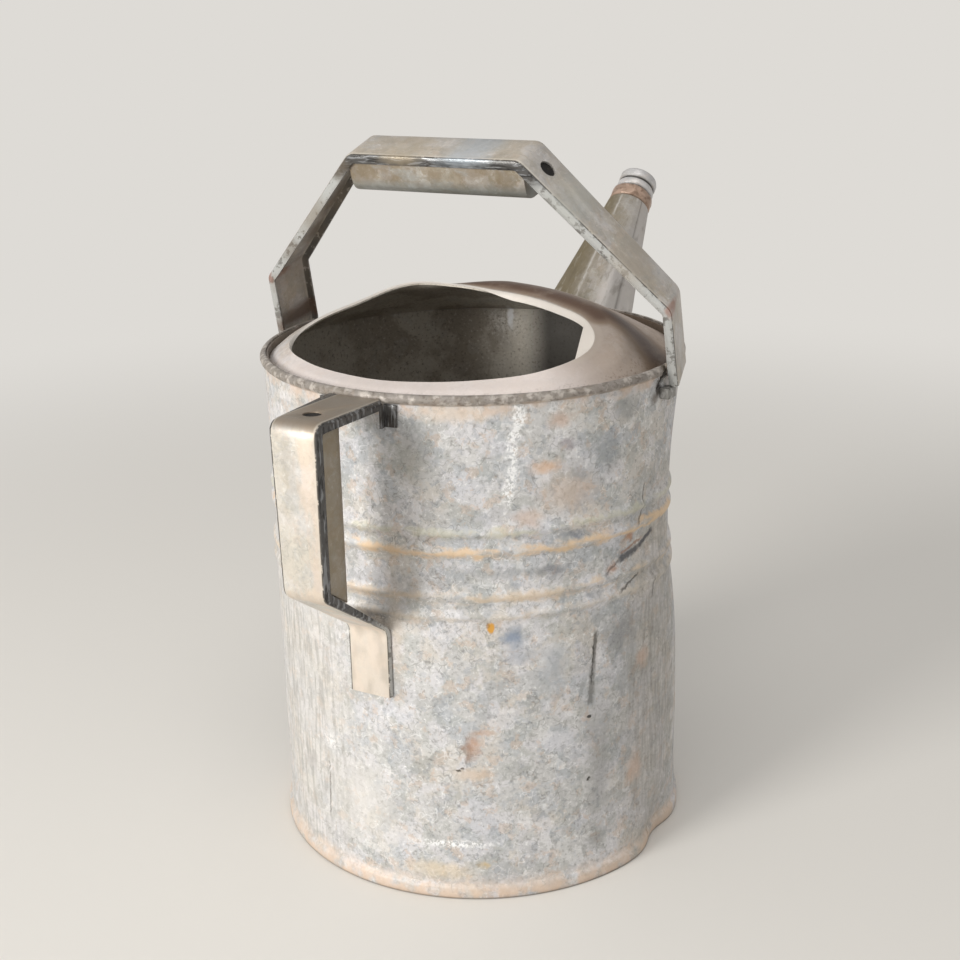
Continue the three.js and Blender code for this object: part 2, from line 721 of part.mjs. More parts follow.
const can = new THREE.Group();
can.add(
  piece('body_shell', bodyShell(), weatheredZinc),
  piece('base_disc', baseDisc(), weatheredZinc),
  piece('hood', hood(), stainedZinc),
  piece('spout_tube', spoutTube(), weatheredZinc),
  piece('spout_solder', spoutSolder(), oldSolder),
  piece('spout_ferrule', ferrule(), stainedZinc),
  piece('carry_handle_strap', carryHandleStrap(), handledZinc),
  piece('carry_handle_grip', carryHandleGrip(), handledZinc),
  piece('carry_foot_solder_left', carryFootSolderLeft(), oldSolder),
  piece('carry_foot_solder_right', carryFootSolderRight(), oldSolder),
  piece('rear_handle_strap', rearHandleStrap(), handledZinc),
  piece('rear_handle_grip', rearHandleGrip(), handledZinc),
);

// The origin is under the middle of the can's box, on the ground.
const box = new THREE.Box3().setFromObject(can);
const ground = box.getCenter(new THREE.Vector3()).setZ(box.min.z);
can.position.copy(ground.negate());

const wateringCan = new THREE.Group();
wateringCan.add(can);
wateringCan.updateMatrixWorld(true);

export default wateringCan;
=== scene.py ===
"""The looks of an old galvanised watering can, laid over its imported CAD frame.

Sizes are in millimetres round the can's own axis, with +X the way the spout points and +Z up.
Angles are in degrees round that axis, from +X towards +Y.
"""

import math

import bmesh
import bpy
import numpy as np
from mathutils import Matrix, Vector


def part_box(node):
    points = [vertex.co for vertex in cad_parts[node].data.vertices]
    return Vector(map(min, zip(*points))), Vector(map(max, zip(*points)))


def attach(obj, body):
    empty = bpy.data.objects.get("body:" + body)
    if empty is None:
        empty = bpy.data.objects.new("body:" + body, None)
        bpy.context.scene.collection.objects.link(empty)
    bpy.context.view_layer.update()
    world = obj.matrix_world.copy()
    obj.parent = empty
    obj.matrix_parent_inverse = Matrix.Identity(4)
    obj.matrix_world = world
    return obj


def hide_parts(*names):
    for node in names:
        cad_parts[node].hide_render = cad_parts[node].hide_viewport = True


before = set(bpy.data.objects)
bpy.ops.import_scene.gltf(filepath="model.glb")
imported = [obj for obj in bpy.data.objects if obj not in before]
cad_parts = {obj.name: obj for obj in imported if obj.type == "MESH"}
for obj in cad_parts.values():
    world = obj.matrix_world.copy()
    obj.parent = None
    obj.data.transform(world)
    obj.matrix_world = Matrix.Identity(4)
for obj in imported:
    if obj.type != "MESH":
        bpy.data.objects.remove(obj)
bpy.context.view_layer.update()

# The can's driving sizes, as its CAD source has them
BODY_RADIUS = 124.0
BODY_HEIGHT = 300.5
WALL = 1.2
CLEARANCE = 0.3
RIM_BEAD = 2.9
HEM_HEIGHT = 7.0
HEM_DEPTH = 1.9
SWAGE_RISE = 1.7
SWAGE_WIDTH = 8.5
SWAGE_HEIGHTS = (176.5, 188.0, 213.5, 224.5)
BEAD_FOOT = BODY_HEIGHT - 2 * RIM_BEAD - CLEARANCE
RIM_OUTER = BODY_RADIUS - WALL / 2 + RIM_BEAD

# Dents: angle, height, depth, and how far each spreads round and up the wall
DENTS = ((-64, 213, 10.5, 13, 45), (-90, 0, 6.5, 6, 15))
# Small knocks that only the looks show
KNOCKS = (
    (-107, 88, 2.2, 7, 48),
    (-120, 128, 1.1, 2.2, 26),
    (-99, 229, 1.6, 3.0, 9),
    (-104, 200, 1.7, 5.0, 6),
    (-97, 183, 1.5, 6.0, 4),
    (161, 50, 0.9, 1.4, 22),
    (-158, 246, 0.7, 12, 26),
    (-131, 252, 0.8, 9, 20),
    (-145, 60, 0.6, 14, 30),
)
# The torn hole in the rim: where it is, how far its middle lies below the top, and its ragged edge
TEAR_ANGLE = -95.0
TEAR_DROP = 11.5
TEAR_EDGE = (
    (0.5, 14), (-2.5, 8.3), (-1.5, 4), (-6.5, -1), (-1.5, 0.5), (3.5, 3.5), (8.5, 4), (13, 1.5),
    (9.5, 5.5), (6.5, 9), (6, 14),
)

# The side of the inside that no light from the window reaches, which is painted dark as shade
GLOOM_ANGLE = -32.0

# Hood
HOOD_SINK = 5.0
HOOD_WALL = 1.0
HOOD_LIP = 4.0
# The mouth: its centre, the drop of its hem, and its edge's height, which tilts and curls along X
MOUTH_CENTRE = -37.0
MOUTH_HEM_DROP = 4.0
MOUTH_RISE = 20.0
MOUTH_TILT = 0.241
MOUTH_CURL = 0.00053
# A lift in the mouth's far edge, and the turns between which a tongue is folded into its right end
FAR_LIFT = 2.4
TONGUE = (-99.0, -64.0)
# The crest: how far in front of the mouth's edge and above it, on the right and on the left
CREST = {"offset": (15.0, 8.0), "rise": (3.5, -3.0)}
# How far the mouth's edge lies from its centre, at even turns from +X towards +Y
MOUTH_REACH = (61, 69.5, 79.5, 82.5, 88.5, 89, 77.5, 69, 66.4, 67, 73.2, 84.6, 91, 82.3, 68.5, 61.7)

# Spout and ferrule
SPOUT_TIP = np.array([227.5, -1.2, 349.0])
SPOUT_SLOPE = math.radians(41)
SPOUT_TIP_RADIUS = 12.8
SPOUT_NECK_RADIUS = 15.0
# The spout's eight-sided root on the wall: half width, and the heights of its corners
ROOT_HALF = 40.0
ROOT_LOW, ROOT_LOW_SIDE, ROOT_WIDEST, ROOT_HIGH_SIDE, ROOT_HIGH = 150, 163, 215, 283, 289
SPOUT_ROOT = (
    (0, ROOT_LOW), (24, ROOT_LOW_SIDE), (ROOT_HALF, ROOT_WIDEST), (24, ROOT_HIGH_SIDE), (0, ROOT_HIGH),
    (-24, ROOT_HIGH_SIDE), (-ROOT_HALF, ROOT_WIDEST), (-24, ROOT_LOW_SIDE),
)
SPOUT_PORT = 24.0
FERRULE_LENGTH = 26.4
COLLAR_LENGTH = 11.0
COLLAR_RADIUS = 14.8
RING_RADIUS = 13.4
FERRULE_BORE = 10.6

# Handles
CARRY_LEAN = math.radians(17)
CARRY_FORWARD = 4.0
STRAP_HALF = 15.0
# The carry strap's left kink and top corner, along and up its leaning plane
CARRY_KINK = np.array([-130, 38.5])
CARRY_CORNER = np.array([-54, 121.5])
# The vents: how far below the carry strap's corner, how far in from the rear strap's end, and
# the black discs of painted shade behind them, which show through the vents as the dark hollow
CARRY_VENT_DROP = 14.0
REAR_VENT_INSET = 19.0
VENT_SHADE_RADIUS = 8.0
VENT_SHADE_THICK = 0.8
REAR_REACH = 187.0
REAR_TOP, REAR_BEND, REAR_TAB = 299.4, 206.0, 165.0
# The rear strap's half width on its left, at its top, bend and tab, and on its right at the tab
REAR_LEFT = (14.2, 11.5, 14.5)
REAR_RIGHT_TAB = 12.6

# Camera, as the photograph was taken
CAMERA_PLACE = (-750.55, -416.03, 499.16)
CAMERA_HEADING = math.radians(28.871)
CAMERA_DIP = 0.32144
CAMERA_ROLL = -0.019898
CAMERA_LENS = 55.37
SENSOR = 36.0

FLOOR_COLOUR = "#dcd9d4"
BACKDROP_COLOUR = "#dedbd6"

MM = 0.001
low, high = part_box("body_shell")
AXIS = Vector(((low.x + high.x) / 2, high.y - RIM_OUTER * MM, 0))


def in_frame(points):
    """Points in millimetres round the can's axis, as metres in the CAD frame."""
    return np.asarray(points, float) * MM + np.array(AXIS)


# Meshes


def placed(name, data):
    """A new object in the scene, which shows a mesh, a lamp or a camera."""
    made = bpy.data.objects.new(name, data)
    bpy.context.scene.collection.objects.link(made)
    return made


def new_piece(name, points, faces, *finishes):
    """A mesh object from points in millimetres, with its faces turned outwards."""
    mesh = bpy.data.meshes.new(name)
    mesh.from_pydata(in_frame(points).tolist(), [], faces)
    tidy = bmesh.new()
    tidy.from_mesh(mesh)
    bmesh.ops.recalc_face_normals(tidy, faces=tidy.faces)
    tidy.to_mesh(mesh)
    tidy.free()
    for finish in finishes:
        mesh.materials.append(finish)
    return placed(name, mesh)


def ring_faces(rows, columns):
    """Quads over rows of rings; each ring closes on itself and the last row joins the first."""
    row, column = np.meshgrid(np.arange(rows), np.arange(columns), indexing="ij")
    next_row, next_column = (row + 1) % rows, (column + 1) % columns
    corners = [row * columns + column, row * columns + next_column]
    corners += [next_row * columns + next_column, next_row * columns + column]
    return np.stack(corners, -1).reshape(-1, 4).tolist()


def ring_piece(name, grid, *finishes):
    """A closed skin over a grid of rows by columns of points."""
    rows, columns, _ = grid.shape
    return new_piece(name, grid.reshape(-1, 3), ring_faces(rows, columns), *finishes)


def bake(piece):
    """Turns a piece's modifiers into its mesh."""
    graph = bpy.context.evaluated_depsgraph_get()
    mesh = bpy.data.meshes.new_from_object(piece.evaluated_get(graph))
    piece.modifiers.clear()
    piece.data = mesh


def cut(piece, tool):
    """Cuts a tool's shape out of a piece."""
    modifier = piece.modifiers.new("cut", "BOOLEAN")
    modifier.operation = "DIFFERENCE"
    modifier.solver = "EXACT"
    modifier.object = tool
    bake(piece)
    bpy.data.objects.remove(tool)


def prism(name, outline, depth):
    """A straight tool: an outline, carried along a depth vector."""
    count = len(outline)
    points = [*outline, *(np.asarray(outline) + np.asarray(depth))]
    sides = [(i, (i + 1) % count, (i + 1) % count + count, i + count) for i in range(count)]
    return new_piece(name, points, [tuple(range(count)), tuple(range(count, 2 * count)), *sides])


def smooth(piece, sharp_angle=40):
    """Smooth shading, with edges that bend more than the angle kept crisp."""
    piece.data.shade_smooth()
    piece.data.set_sharp_from_angle(angle=math.radians(sharp_angle))


def mark_points(piece, name, values):
    """Stores a number on every point of a mesh, for its finish to read."""
    attribute = piece.data.attributes.new(name, "FLOAT", "POINT")
    attribute.data.foreach_set("value", np.asarray(values, np.float32).ravel())


def stands_for(piece, *nodes):
    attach(piece, "root")
    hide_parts(*nodes)


def dressed(name, node, finish, bevel, corner_angle=30):
    """A finer copy of a CAD node, with its edges softened, which stands for the node."""
    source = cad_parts[node].data
    mesh = bpy.data.meshes.new(name)
    mesh.from_pydata([v.co for v in source.vertices], [], [tuple(p.vertices) for p in source.polygons])
    tidy = bmesh.new()
    tidy.from_mesh(mesh)
    bmesh.ops.remove_doubles(tidy, verts=tidy.verts, dist=2e-6)
    bmesh.ops.dissolve_limit(tidy, angle_limit=math.radians(0.5), verts=tidy.verts, edges=tidy.edges)
    bmesh.ops.recalc_face_normals(tidy, faces=tidy.faces)
    tidy.to_mesh(mesh)
    tidy.free()
    piece = placed(name, mesh)
    modifier = piece.modifiers.new("soft edges", "BEVEL")
    modifier.width = bevel * MM
    modifier.segments = 2
    modifier.limit_method = "ANGLE"
    modifier.angle_limit = math.radians(corner_angle)
    bake(piece)
    piece.data.materials.clear()
    piece.data.materials.append(finish)
    smooth(piece, 50)
    stands_for(piece, node)
    return piece


# Finishes


def srgb(code, alpha=1.0):
    """A colour written as #rrggbb, as the linear numbers that a shader takes."""
    shares = [int(code[i:i + 2], 16) / 255 for i in (1, 3, 5)]
    return (*(c / 12.92 if c <= 0.04045 else ((c + 0.055) / 1.055) ** 2.4 for c in shares), alpha)


class Finish:
    """A metal finish under construction: colour, roughness and height are layered, then built."""

    def __init__(self, name, colour, roughness=0.6):
        self.material = bpy.data.materials.new(name)
        self.material.use_nodes = True
        self.tree = self.material.node_tree
        self.tree.nodes.clear()
        here = self.node("TexCoord").outputs["Object"]
        self.place = self.vector("MULTIPLY_ADD", here, (1 / MM,) * 3, tuple(-AXIS / MM))
        self.colour = srgb(colour)
        self.roughness = roughness
        self.height = 0.0

    def node(self, kind, inputs=None, **settings):
        """Adds a node with its settings; an input is a plain value or another node's output."""
        made = self.tree.nodes.new("ShaderNode" + kind)
        for key, value in settings.items():
            setattr(made, key, value)
        for key, value in (inputs or {}).items():
            if isinstance(value, bpy.types.NodeSocket):
                self.tree.links.new(value, made.inputs[key])
            else:
                made.inputs[key].default_value = value
        return made

    def math(self, operation, a, b=0.0):
        return self.node("Math", {0: a, 1: b}, operation=operation).outputs[0]

    def vector(self, operation, *inputs):
        made = self.node("VectorMath", dict(enumerate(inputs)), operation=operation)
        return made.outputs["Value" if operation in ("LENGTH", "DOT_PRODUCT") else "Vector"]

    def times(self, *values):
        product = values[0]
        for value in values[1:]:
            product = self.math("MULTIPLY", product, value)
        return product

    def span(self, value, start, end):
        """0 where a value is at its start, 1 at its end, and a smooth step between."""
        inputs = {0: value, 1: start, 2: end}
        return self.node("MapRange", inputs, interpolation_type="SMOOTHSTEP").outputs[0]

    def noise(self, size, detail=3.0, stretch=(1, 1, 1), seed=0, at=None, rough=0.5):
        """Cloudy noise from 0 to 1, whose lumps are about a size across, in millimetres."""
        scale = tuple(1 / (size * s) for s in stretch)
        shift = (seed * 7.3, seed * -3.1, seed * 5.7)
        inputs = {"Vector": self.vector("MULTIPLY_ADD", at or self.place, scale, shift)}
        inputs |= {"Scale": 1.0, "Detail": detail, "Roughness": rough}
        return self.node("TexNoise", inputs).outputs[0]

    def scratches(self, size, width, seed):
        """Thin curling lines, broken into short runs; the width is a share of the lumps' size."""
        level = self.math("ABSOLUTE", self.math("SUBTRACT", self.noise(size, 1, seed=seed), 0.5))
        runs = self.span(self.noise(size * 1.6, 2, seed=seed + 1), 0.5, 0.56)
        return self.times(self.span(level, width, width * 0.3), runs)

    def patches(self, size, seed=0, at=None):
        """Crystal patches, each of one random shade from 0 to 1."""
        scale = (1 / size,) * 3
        inputs = {"Vector": self.vector("MULTIPLY_ADD", at or self.place, scale, (seed * 3.7,) * 3)}
        cells = self.node("TexVoronoi", inputs | {"Scale": 1.0})
        return self.vector("DOT_PRODUCT", cells.outputs["Color"], (0.34, 0.33, 0.33))

    def warped(self, at, size, reach):
        """A place, pushed about by noise so that marks on it get ragged edges."""
        inputs = {"Vector": self.vector("MULTIPLY", at, (1 / size,) * 3), "Scale": 1.0, "Detail": 3.0}
        push = self.node("TexNoise", inputs).outputs["Color"]
        centred = self.vector("SUBTRACT", push, (0.5, 0.5, 0.5))
        return self.vector("MULTIPLY_ADD", centred, (reach, reach, reach), at)

    def spot(self, at, centre, reach, soft=0.7):
        """1 in the middle of an oval, falling to 0 at its reach."""
        away = self.vector("SUBTRACT", at, (*centre, 0))
        flat = self.vector("DIVIDE", away, (*reach, 1e6))
        return self.span(self.vector("LENGTH", flat), 1.0, 1.0 - soft)

    def read(self, name):
        """A number that the mesh carries on its points."""
        return self.node("Attribute", attribute_name=name).outputs["Fac"]

    def tint(self, colour, *shares):
        """Lays a colour over what is there, as strongly as its shares multiplied."""
        inputs = {0: self.times(*shares), 6: self.colour, 7: srgb(colour)}
        self.colour = self.node("Mix", inputs, data_type="RGBA").outputs[2]

    def polish(self, roughness, amount):
        """Moves the roughness towards a value."""
        self.roughness = self.node("Mix", {0: amount, 2: self.roughness, 3: roughness}).outputs[0]

    def lift(self, value, height):
        """Raises the surface by a value times a height in millimetres."""
        self.height = self.math("ADD", self.height, self.math("MULTIPLY", value, height))

    def build(self, metallic):
        shader = self.node("BsdfPrincipled", {"Metallic": metallic, "Base Color": self.colour})
        if isinstance(self.roughness, bpy.types.NodeSocket):
            self.tree.links.new(self.roughness, shader.inputs["Roughness"])
        else:
            shader.inputs["Roughness"].default_value = self.roughness
        if isinstance(self.height, bpy.types.NodeSocket):
            inputs = {"Height": self.height, "Distance": MM, "Strength": 1.0}
            self.tree.links.new(self.node("Bump", inputs).outputs[0], shader.inputs["Normal"])
        output = self.node("OutputMaterial")
        self.tree.links.new(shader.outputs[0], output.inputs["Surface"])
        return self.material


def round_wall(finish):
    """A place on the round wall as millimetres round it from the rear handle, and its height."""
    parts = finish.node("SeparateXYZ", {0: finish.place}).outputs
    back = [finish.math("MULTIPLY", parts[i], -1.0) for i in (0, 1)]
    girth = finish.times(finish.math("ARCTAN2", back[1], back[0]), BODY_RADIUS)
    flat = finish.node("CombineXYZ", {0: girth, 1: parts[2]}).outputs[0]
    return flat, parts[2]


def on_wall(angle, height):
    """An angle and a height as a place on the unrolled wall, which starts at the rear handle."""
    return (math.radians((angle % 360) - 180) * BODY_RADIUS, height)


# Clouds that years of rain leave on zinc: size, seed, colour, start and strength
CLOUDS = (
    (48, 1, "#cfc6ba", 0.50, 0.45),
    (26, 2, "#aab1ba", 0.50, 0.45),
    (15, 3, "#a9aba6", 0.52, 0.40),
    (20, 4, "#dcdadf", 0.50, 0.45),
    (9, 5, "#c9b5a4", 0.56, 0.50),
    (6, 6, "#9197a0", 0.57, 0.40),
)


def mottle(zinc, strength=1.0):
    """What galvanising leaves after years outdoors: torn clouds, crystal patches and fine flecks."""
    torn = zinc.warped(zinc.place, 4.5, 7)
    for size, seed, colour, start, amount in CLOUDS:
        cloud = zinc.span(zinc.noise(size, 5, seed=seed, at=torn, rough=0.6), start, start + 0.06)
        zinc.tint(colour, cloud, amount * strength)
    cells = zinc.patches(8, 1, torn)
    zinc.tint("#868887", zinc.span(cells, 0.5, 0.2), 0.26 * strength)
    zinc.tint("#e6e5e5", zinc.span(cells, 0.62, 0.85), 0.36 * strength)
    grain = zinc.noise(2.6, 6, seed=7, rough=0.75)
    zinc.tint("#6e6c67", zinc.span(grain, 0.49, 0.33), 0.5 * strength)
    zinc.tint("#f4f3f2", zinc.span(grain, 0.54, 0.7), 0.6 * strength)
    zinc.tint("#f6f6f6", zinc.scratches(6, 0.02, 8), 0.36 * strength)
    zinc.tint("#6a6862", zinc.scratches(7, 0.018, 9), 0.4 * strength)
    zinc.polish(0.45, zinc.span(cells, 0.5, 0.9))
    zinc.lift(zinc.noise(26, 2, seed=10), 0.8)
    zinc.lift(grain, 0.14)
    return torn


# Marks on the wall, a few of them painted shadow and shade as noted: angle, height, half width, half
# height, colour, strength and softness
WALL_MARKS = (
    (205, 291, 34, 7, "#dccbb9", 0.6, 0.8),
    (226.5, 259, 14, 6, "#d6b08f", 0.6, 0.9),
    (230, 284, 10, 7, "#c9a893", 0.5, 0.9),
    (233, 243, 26, 18, "#c9b3a1", 0.55, 0.9),
    (222, 231, 12, 7, "#cdb09a", 0.5, 0.8),
    (244, 262, 14, 16, "#8b8f92", 0.55, 0.8),
    (250, 285, 14, 12, "#85898b", 0.5, 0.8),
    (236, 253, 9, 7, "#8f949b", 0.5, 0.8),
    (232, 270, 7, 5, "#9a9097", 0.5, 0.8),
    # Painted shadow of the rear handle, on the wall to its right: the next two marks
    (193, 270, 16, 30, "#8d8a80", 0.45, 0.9),
    (191, 190, 14, 20, "#8f8a7f", 0.4, 0.9),
    (211.8, 169.9, 2.6, 4.2, "#d39a3a", 0.95, 0.5),
    (211.0, 171.5, 1.4, 2.0, "#8f6420", 0.5, 0.6),
    (206.5, 97, 7, 11, "#b98d70", 0.6, 0.9),
    (205.3, 95, 4, 9, "#8f6f58", 0.5, 0.8),
    (209.5, 106, 10, 3, "#c29e84", 0.5, 0.8),
    (207, 80, 16, 5, "#cdb8a3", 0.6, 0.8),
    (202.6, 82.2, 2.2, 1.1, "#3b3326", 0.9, 0.6),
    (203.7, 83.4, 1.4, 1.0, "#4a402f", 0.8, 0.6),
    (238.4, 67, 1.5, 1.3, "#2a2417", 1.0, 0.4),
    (238.6, 106.5, 1.6, 1.4, "#2a2620", 1.0, 0.4),
    (201.2, 34.7, 36, 3.6, "#f6f6f6", 0.9, 0.8),
    (217.3, 163, 10, 10, "#7b8aa0", 0.8, 0.9),
    (219, 152, 16, 8, "#9aa0ab", 0.5, 0.9),
    (228, 140, 14, 26, "#a9adb3", 0.55, 0.8),
    (163.5, 84, 11, 10, "#f0eeec", 0.75, 0.9),
    (161.8, 64, 4, 8, "#efedec", 0.7, 0.9),
    (176, 52, 34, 40, "#dcd8d2", 0.5, 0.9),
    (197, 17.5, 30, 9, "#dcc6a2", 0.5, 0.9),
    (209, 22, 5, 4, "#cdb27f", 0.6, 0.9),
    (242, 80, 14, 70, "#8d8c8a", 0.5, 0.9),
    (249, 152, 22, 18, "#7f8082", 0.5, 0.9),
    (241, 26, 10, 10, "#7f7f80", 0.45, 0.9),
    (256, 60, 10, 14, "#c9a891", 0.5, 0.8),
    (259, 130, 9, 9, "#c4a28c", 0.5, 0.8),
    (215, 201, 44, 4.5, "#8d8f90", 0.5, 0.9),
    (228, 200, 17, 6.5, "#77797f", 0.6, 0.9),
    (234, 218, 14, 4, "#757b86", 0.65, 0.9),
    (252, 208, 6, 5, "#b07a4c", 0.7, 0.8),
    (246, 193, 7, 4, "#a9734a", 0.6, 0.8),
    (187, 165, 7, 60, "#c2b19d", 0.4, 0.9),
    # Painted shade: near-black round the torn hole in the rim, for the dark seen through it
    (263.5, 289, 4.5, 7, "#2e2720", 0.85, 0.6),
    (262, 283, 7, 5, "#5b4a3a", 0.6, 0.8),
)
# The white drip under the rim, as places of angle and height
DRIP = ((219.7, 294), (218.9, 281), (217.7, 273), (217.8, 257), (216.3, 241))
# Thin lines where the sheet has buckled: both ends, half width, colour and strength
WALL_LINES = (
    ((262.5, 207), (256.5, 199), 2.2, "#3f4046", 0.85),
    ((256.5, 199), (248.5, 196.5), 3.2, "#3f4046", 0.85),
    ((258, 204), (249, 199.5), 1.2, "#8a5a36", 0.6),
    ((248.5, 196.5), (243.5, 190.5), 1.1, "#55504c", 0.6),
    ((258.5, 236), (257.5, 226), 0.9, "#5a564f", 0.8),
    ((257.5, 222), (255, 214), 0.9, "#5a564f", 0.7),
    ((256.5, 183.5), (248.5, 177.5), 1.0, "#55514c", 0.8),
    ((263.8, 176), (263, 165), 0.9, "#55514c", 0.6),
    ((240.8, 158), (240.0, 138), 2.0, "#4d4a44", 0.75),
    ((240.0, 138), (239.0, 114), 3.0, "#5d5a54", 0.6),
    ((240.2, 150), (239.4, 126), 0.7, "#2f2c28", 0.75),
    ((161.9, 69), (161.1, 33), 0.6, "#6a6259", 0.7),
    ((265.5, 13), (263.5, 5), 0.9, "#3f3a33", 0.9),
)
# Warm stain on the raised bands: height, half height, colour and strength
BAND_STAINS = (
    (213.5, 4.6, "#dfc19b", 0.8),
    (187.0, 4.8, "#dbc5a9", 0.65),
    (224.5, 3.6, "#c9c6ae", 0.5),
    (176.5, 4.0, "#d8cbb9", 0.45),
)


def line_mark(zinc, at, start, end, half_width):
    """1 along a thin line on the unrolled wall, and 0 beside it."""
    start, end = np.array(on_wall(*start)), np.array(on_wall(*end))
    run = end - start
    length = float(np.hypot(*run))
    along, beside = run / length, np.array([-run[1], run[0]]) / length
    away = zinc.vector("SUBTRACT", at, (*start, 0))
    side = zinc.math("ABSOLUTE", zinc.vector("DOT_PRODUCT", away, (*beside, 0)))
    far = zinc.vector("DOT_PRODUCT", away, (*along, 0))
    ends = zinc.times(zinc.span(far, -2.0, 2.0), zinc.span(far, length + 2.0, length - 2.0))
    return zinc.times(zinc.span(side, half_width, half_width * 0.3), ends)


def wall_finish():
    """Hot-dip galvanised sheet, dulled to a chalky grey with warm water stain on its raised bands."""
    zinc = Finish("weathered_galvanised_wall", "#c6c5c4", 0.58)
    flat, up = round_wall(zinc)
    mottle(zinc)
    ragged = zinc.warped(flat, 5, 9)
    fine = zinc.warped(flat, 2.5, 3)
    specks = zinc.span(zinc.noise(1.9, 5, seed=15, rough=0.7), 0.44, 0.56)
    # Painted light: the left side of the wall, towards the window, is tinted paler
    cream = zinc.spot(flat, on_wall(150, 120), (78, 230), 0.8)
    zinc.tint("#d8d3cc", cream, 0.5)
    # Painted shade: the right side of the wall, away from the window, is tinted darker
    shade = zinc.spot(flat, on_wall(266, 110), (50, 190), 0.75)
    zinc.tint("#a39b91", shade, 0.45)
    # Streaks, laid only where the painted light and painted shade spots are
    streaks = zinc.span(zinc.noise(2.4, 4, (1, 1, 8), 16), 0.45, 0.62)
    zinc.tint("#6f6a62", streaks, zinc.math("MAXIMUM", cream, shade), 0.3)
    broken = zinc.span(zinc.noise(10, 4, (2.4, 2.4, 0.7), 17), 0.38, 0.56)
    torn_up = zinc.node("SeparateXYZ", {0: ragged}).outputs[1]
    for height, half, colour, strength in BAND_STAINS:
        near = zinc.span(zinc.math("ABSOLUTE", zinc.math("SUBTRACT", torn_up, height)), half, 0.8)
        zinc.tint(colour, near, broken, strength)
    for angle, height, wide, tall, colour, strength, soft in WALL_MARKS:
        edge = fine if min(wide, tall) < 4 else ragged
        spot = zinc.spot(edge, on_wall(angle, height), (wide, tall), soft)
        if colour.startswith(("#e", "#f")):
            spot = zinc.times(spot, specks)
        zinc.tint(colour, spot, strength)
    for start, end in zip(DRIP, DRIP[1:]):
        zinc.tint("#f4f4f4", line_mark(zinc, ragged, start, end, 4.2), specks, 0.9)
    for start, end, half, colour, strength in WALL_LINES:
        zinc.tint(colour, line_mark(zinc, fine, start, end, half), strength)
    foot = zinc.span(torn_up, 17, 2)
    zinc.tint("#d9c1ab", foot, zinc.span(zinc.noise(12, 4, seed=11), 0.32, 0.55), 0.8)
    zinc.tint("#6d5f50", zinc.span(up, 1.8, 0.4), 0.7)
    rim = zinc.span(up, BEAD_FOOT, BEAD_FOOT + 1.2)
    zinc.tint("#7b7166", rim, 0.8)
    zinc.tint("#d5cdc5", rim, zinc.span(zinc.noise(6, 5, seed=12), 0.48, 0.64), 0.55)
    nick = zinc.span(zinc.noise(2.8, 5, (1, 1, 0.6), 13, rough=0.65), 0.53, 0.62)
    zinc.tint("#5d5046", rim, nick, 0.5)
    under_rim = zinc.times(zinc.span(torn_up, 288, 293), zinc.span(up, 297, 295))
    blush = zinc.span(zinc.noise(16, 4, seed=18), 0.42, 0.6)
    zinc.tint("#d4bba6", under_rim, blush, 0.55)
    return zinc.build(metallic=0.2)


def inside_finish():
    """The same sheet inside the can: grey, with pale specks and a drip, and painted shade darkening
    the side that the window's light misses.
    """
    zinc = Finish("galvanised_inside_with_painted_shade", "#cfc8bc", 0.6)
    flat, _ = round_wall(zinc)
    torn = zinc.warped(zinc.place, 6, 8)
    zinc.tint("#a89d8f", zinc.span(zinc.noise(40, 4, seed=21, at=torn), 0.45, 0.55), 0.8)
    zinc.tint("#c4c0b8", zinc.span(zinc.patches(9, 4, torn), 0.5, 0.8), 0.4)
    speck = zinc.noise(1.8, 4, seed=22, rough=0.7)
    zinc.tint("#e4e0d8", zinc.span(speck, 0.56, 0.68), 0.7)
    zinc.tint("#7c7264", zinc.span(speck, 0.46, 0.32), 0.7)
    # Painted shade: the inside wall turned towards the gloom angle is tinted near-black, as no window
    # light reaches it
    turn = math.radians(GLOOM_ANGLE)
    toward = zinc.vector("DOT_PRODUCT", zinc.place, (math.cos(turn), math.sin(turn), 0))
    gloom = zinc.span(toward, 84, 99)
    zinc.tint("#26221d", gloom, 0.94)
    drip = zinc.spot(zinc.warped(flat, 4, 6), on_wall(17.2, 289), (3, 12), 0.8)
    smear = zinc.spot(zinc.warped(flat, 6, 10), on_wall(19, 285), (18, 12), 0.9)
    zinc.tint("#f4f1ec", smear, zinc.span(speck, 0.45, 0.55), 0.5)
    zinc.tint("#ffffff", drip, 0.9)
    zinc.lift(speck, 0.1)
    zinc.lift(zinc.noise(30, 2, seed=25), 0.8)
    return zinc.build(metallic=0.2)


def hood_finish():
    """The hood's sheet: pinkish, and pale in front, where the pale is painted light; a painted
    highlight along the mouth's edge, painted shade in the sunk ring by the rim, and a smooth brown
    band along its crest.
    """
    zinc = Finish("stained_galvanised_hood", "#b8ada3", 0.55)
    mottle(zinc, 0.55)
    share, brown = zinc.read("share"), zinc.read("brown")
    streak = zinc.noise(7, 5, (3, 3, 1), 31, rough=0.6)
    # Painted light: the side of the hood towards the lamps and camera is tinted pale
    zinc.tint("#e6dbd6", zinc.read("pale"), 0.7)
    zinc.tint("#ddd6ce", zinc.read("lip"), 0.8)
    zinc.tint("#9a8776", zinc.read("flank"), 0.6)
    zinc.tint("#a08874", zinc.read("far"), 0.65)
    zinc.tint("#7d6855", zinc.span(brown, 0.05, 0.5), 0.85)
    zinc.tint("#4e3424", zinc.span(brown, 0.4, 1.0), zinc.span(streak, 0.2, 0.5), 0.85)
    # Painted highlight along the mouth's rolled edge
    zinc.tint("#e2dbd3", zinc.span(share, 0.02, 0.0), 0.85)
    # Painted shade in the sunk ring where the hood meets the rim
    zinc.tint("#6a5c4e", zinc.span(share, 0.86, 1.0), 0.8)
    fleck = zinc.span(zinc.noise(2.2, 5, seed=33, rough=0.7), 0.54, 0.62)
    zinc.tint("#6d5a4b", fleck, zinc.span(share, 0.35, 0.95), 0.65)
    zinc.polish(0.42, zinc.span(brown, 0.2, 0.8))
    return zinc.build(metallic=0.2)


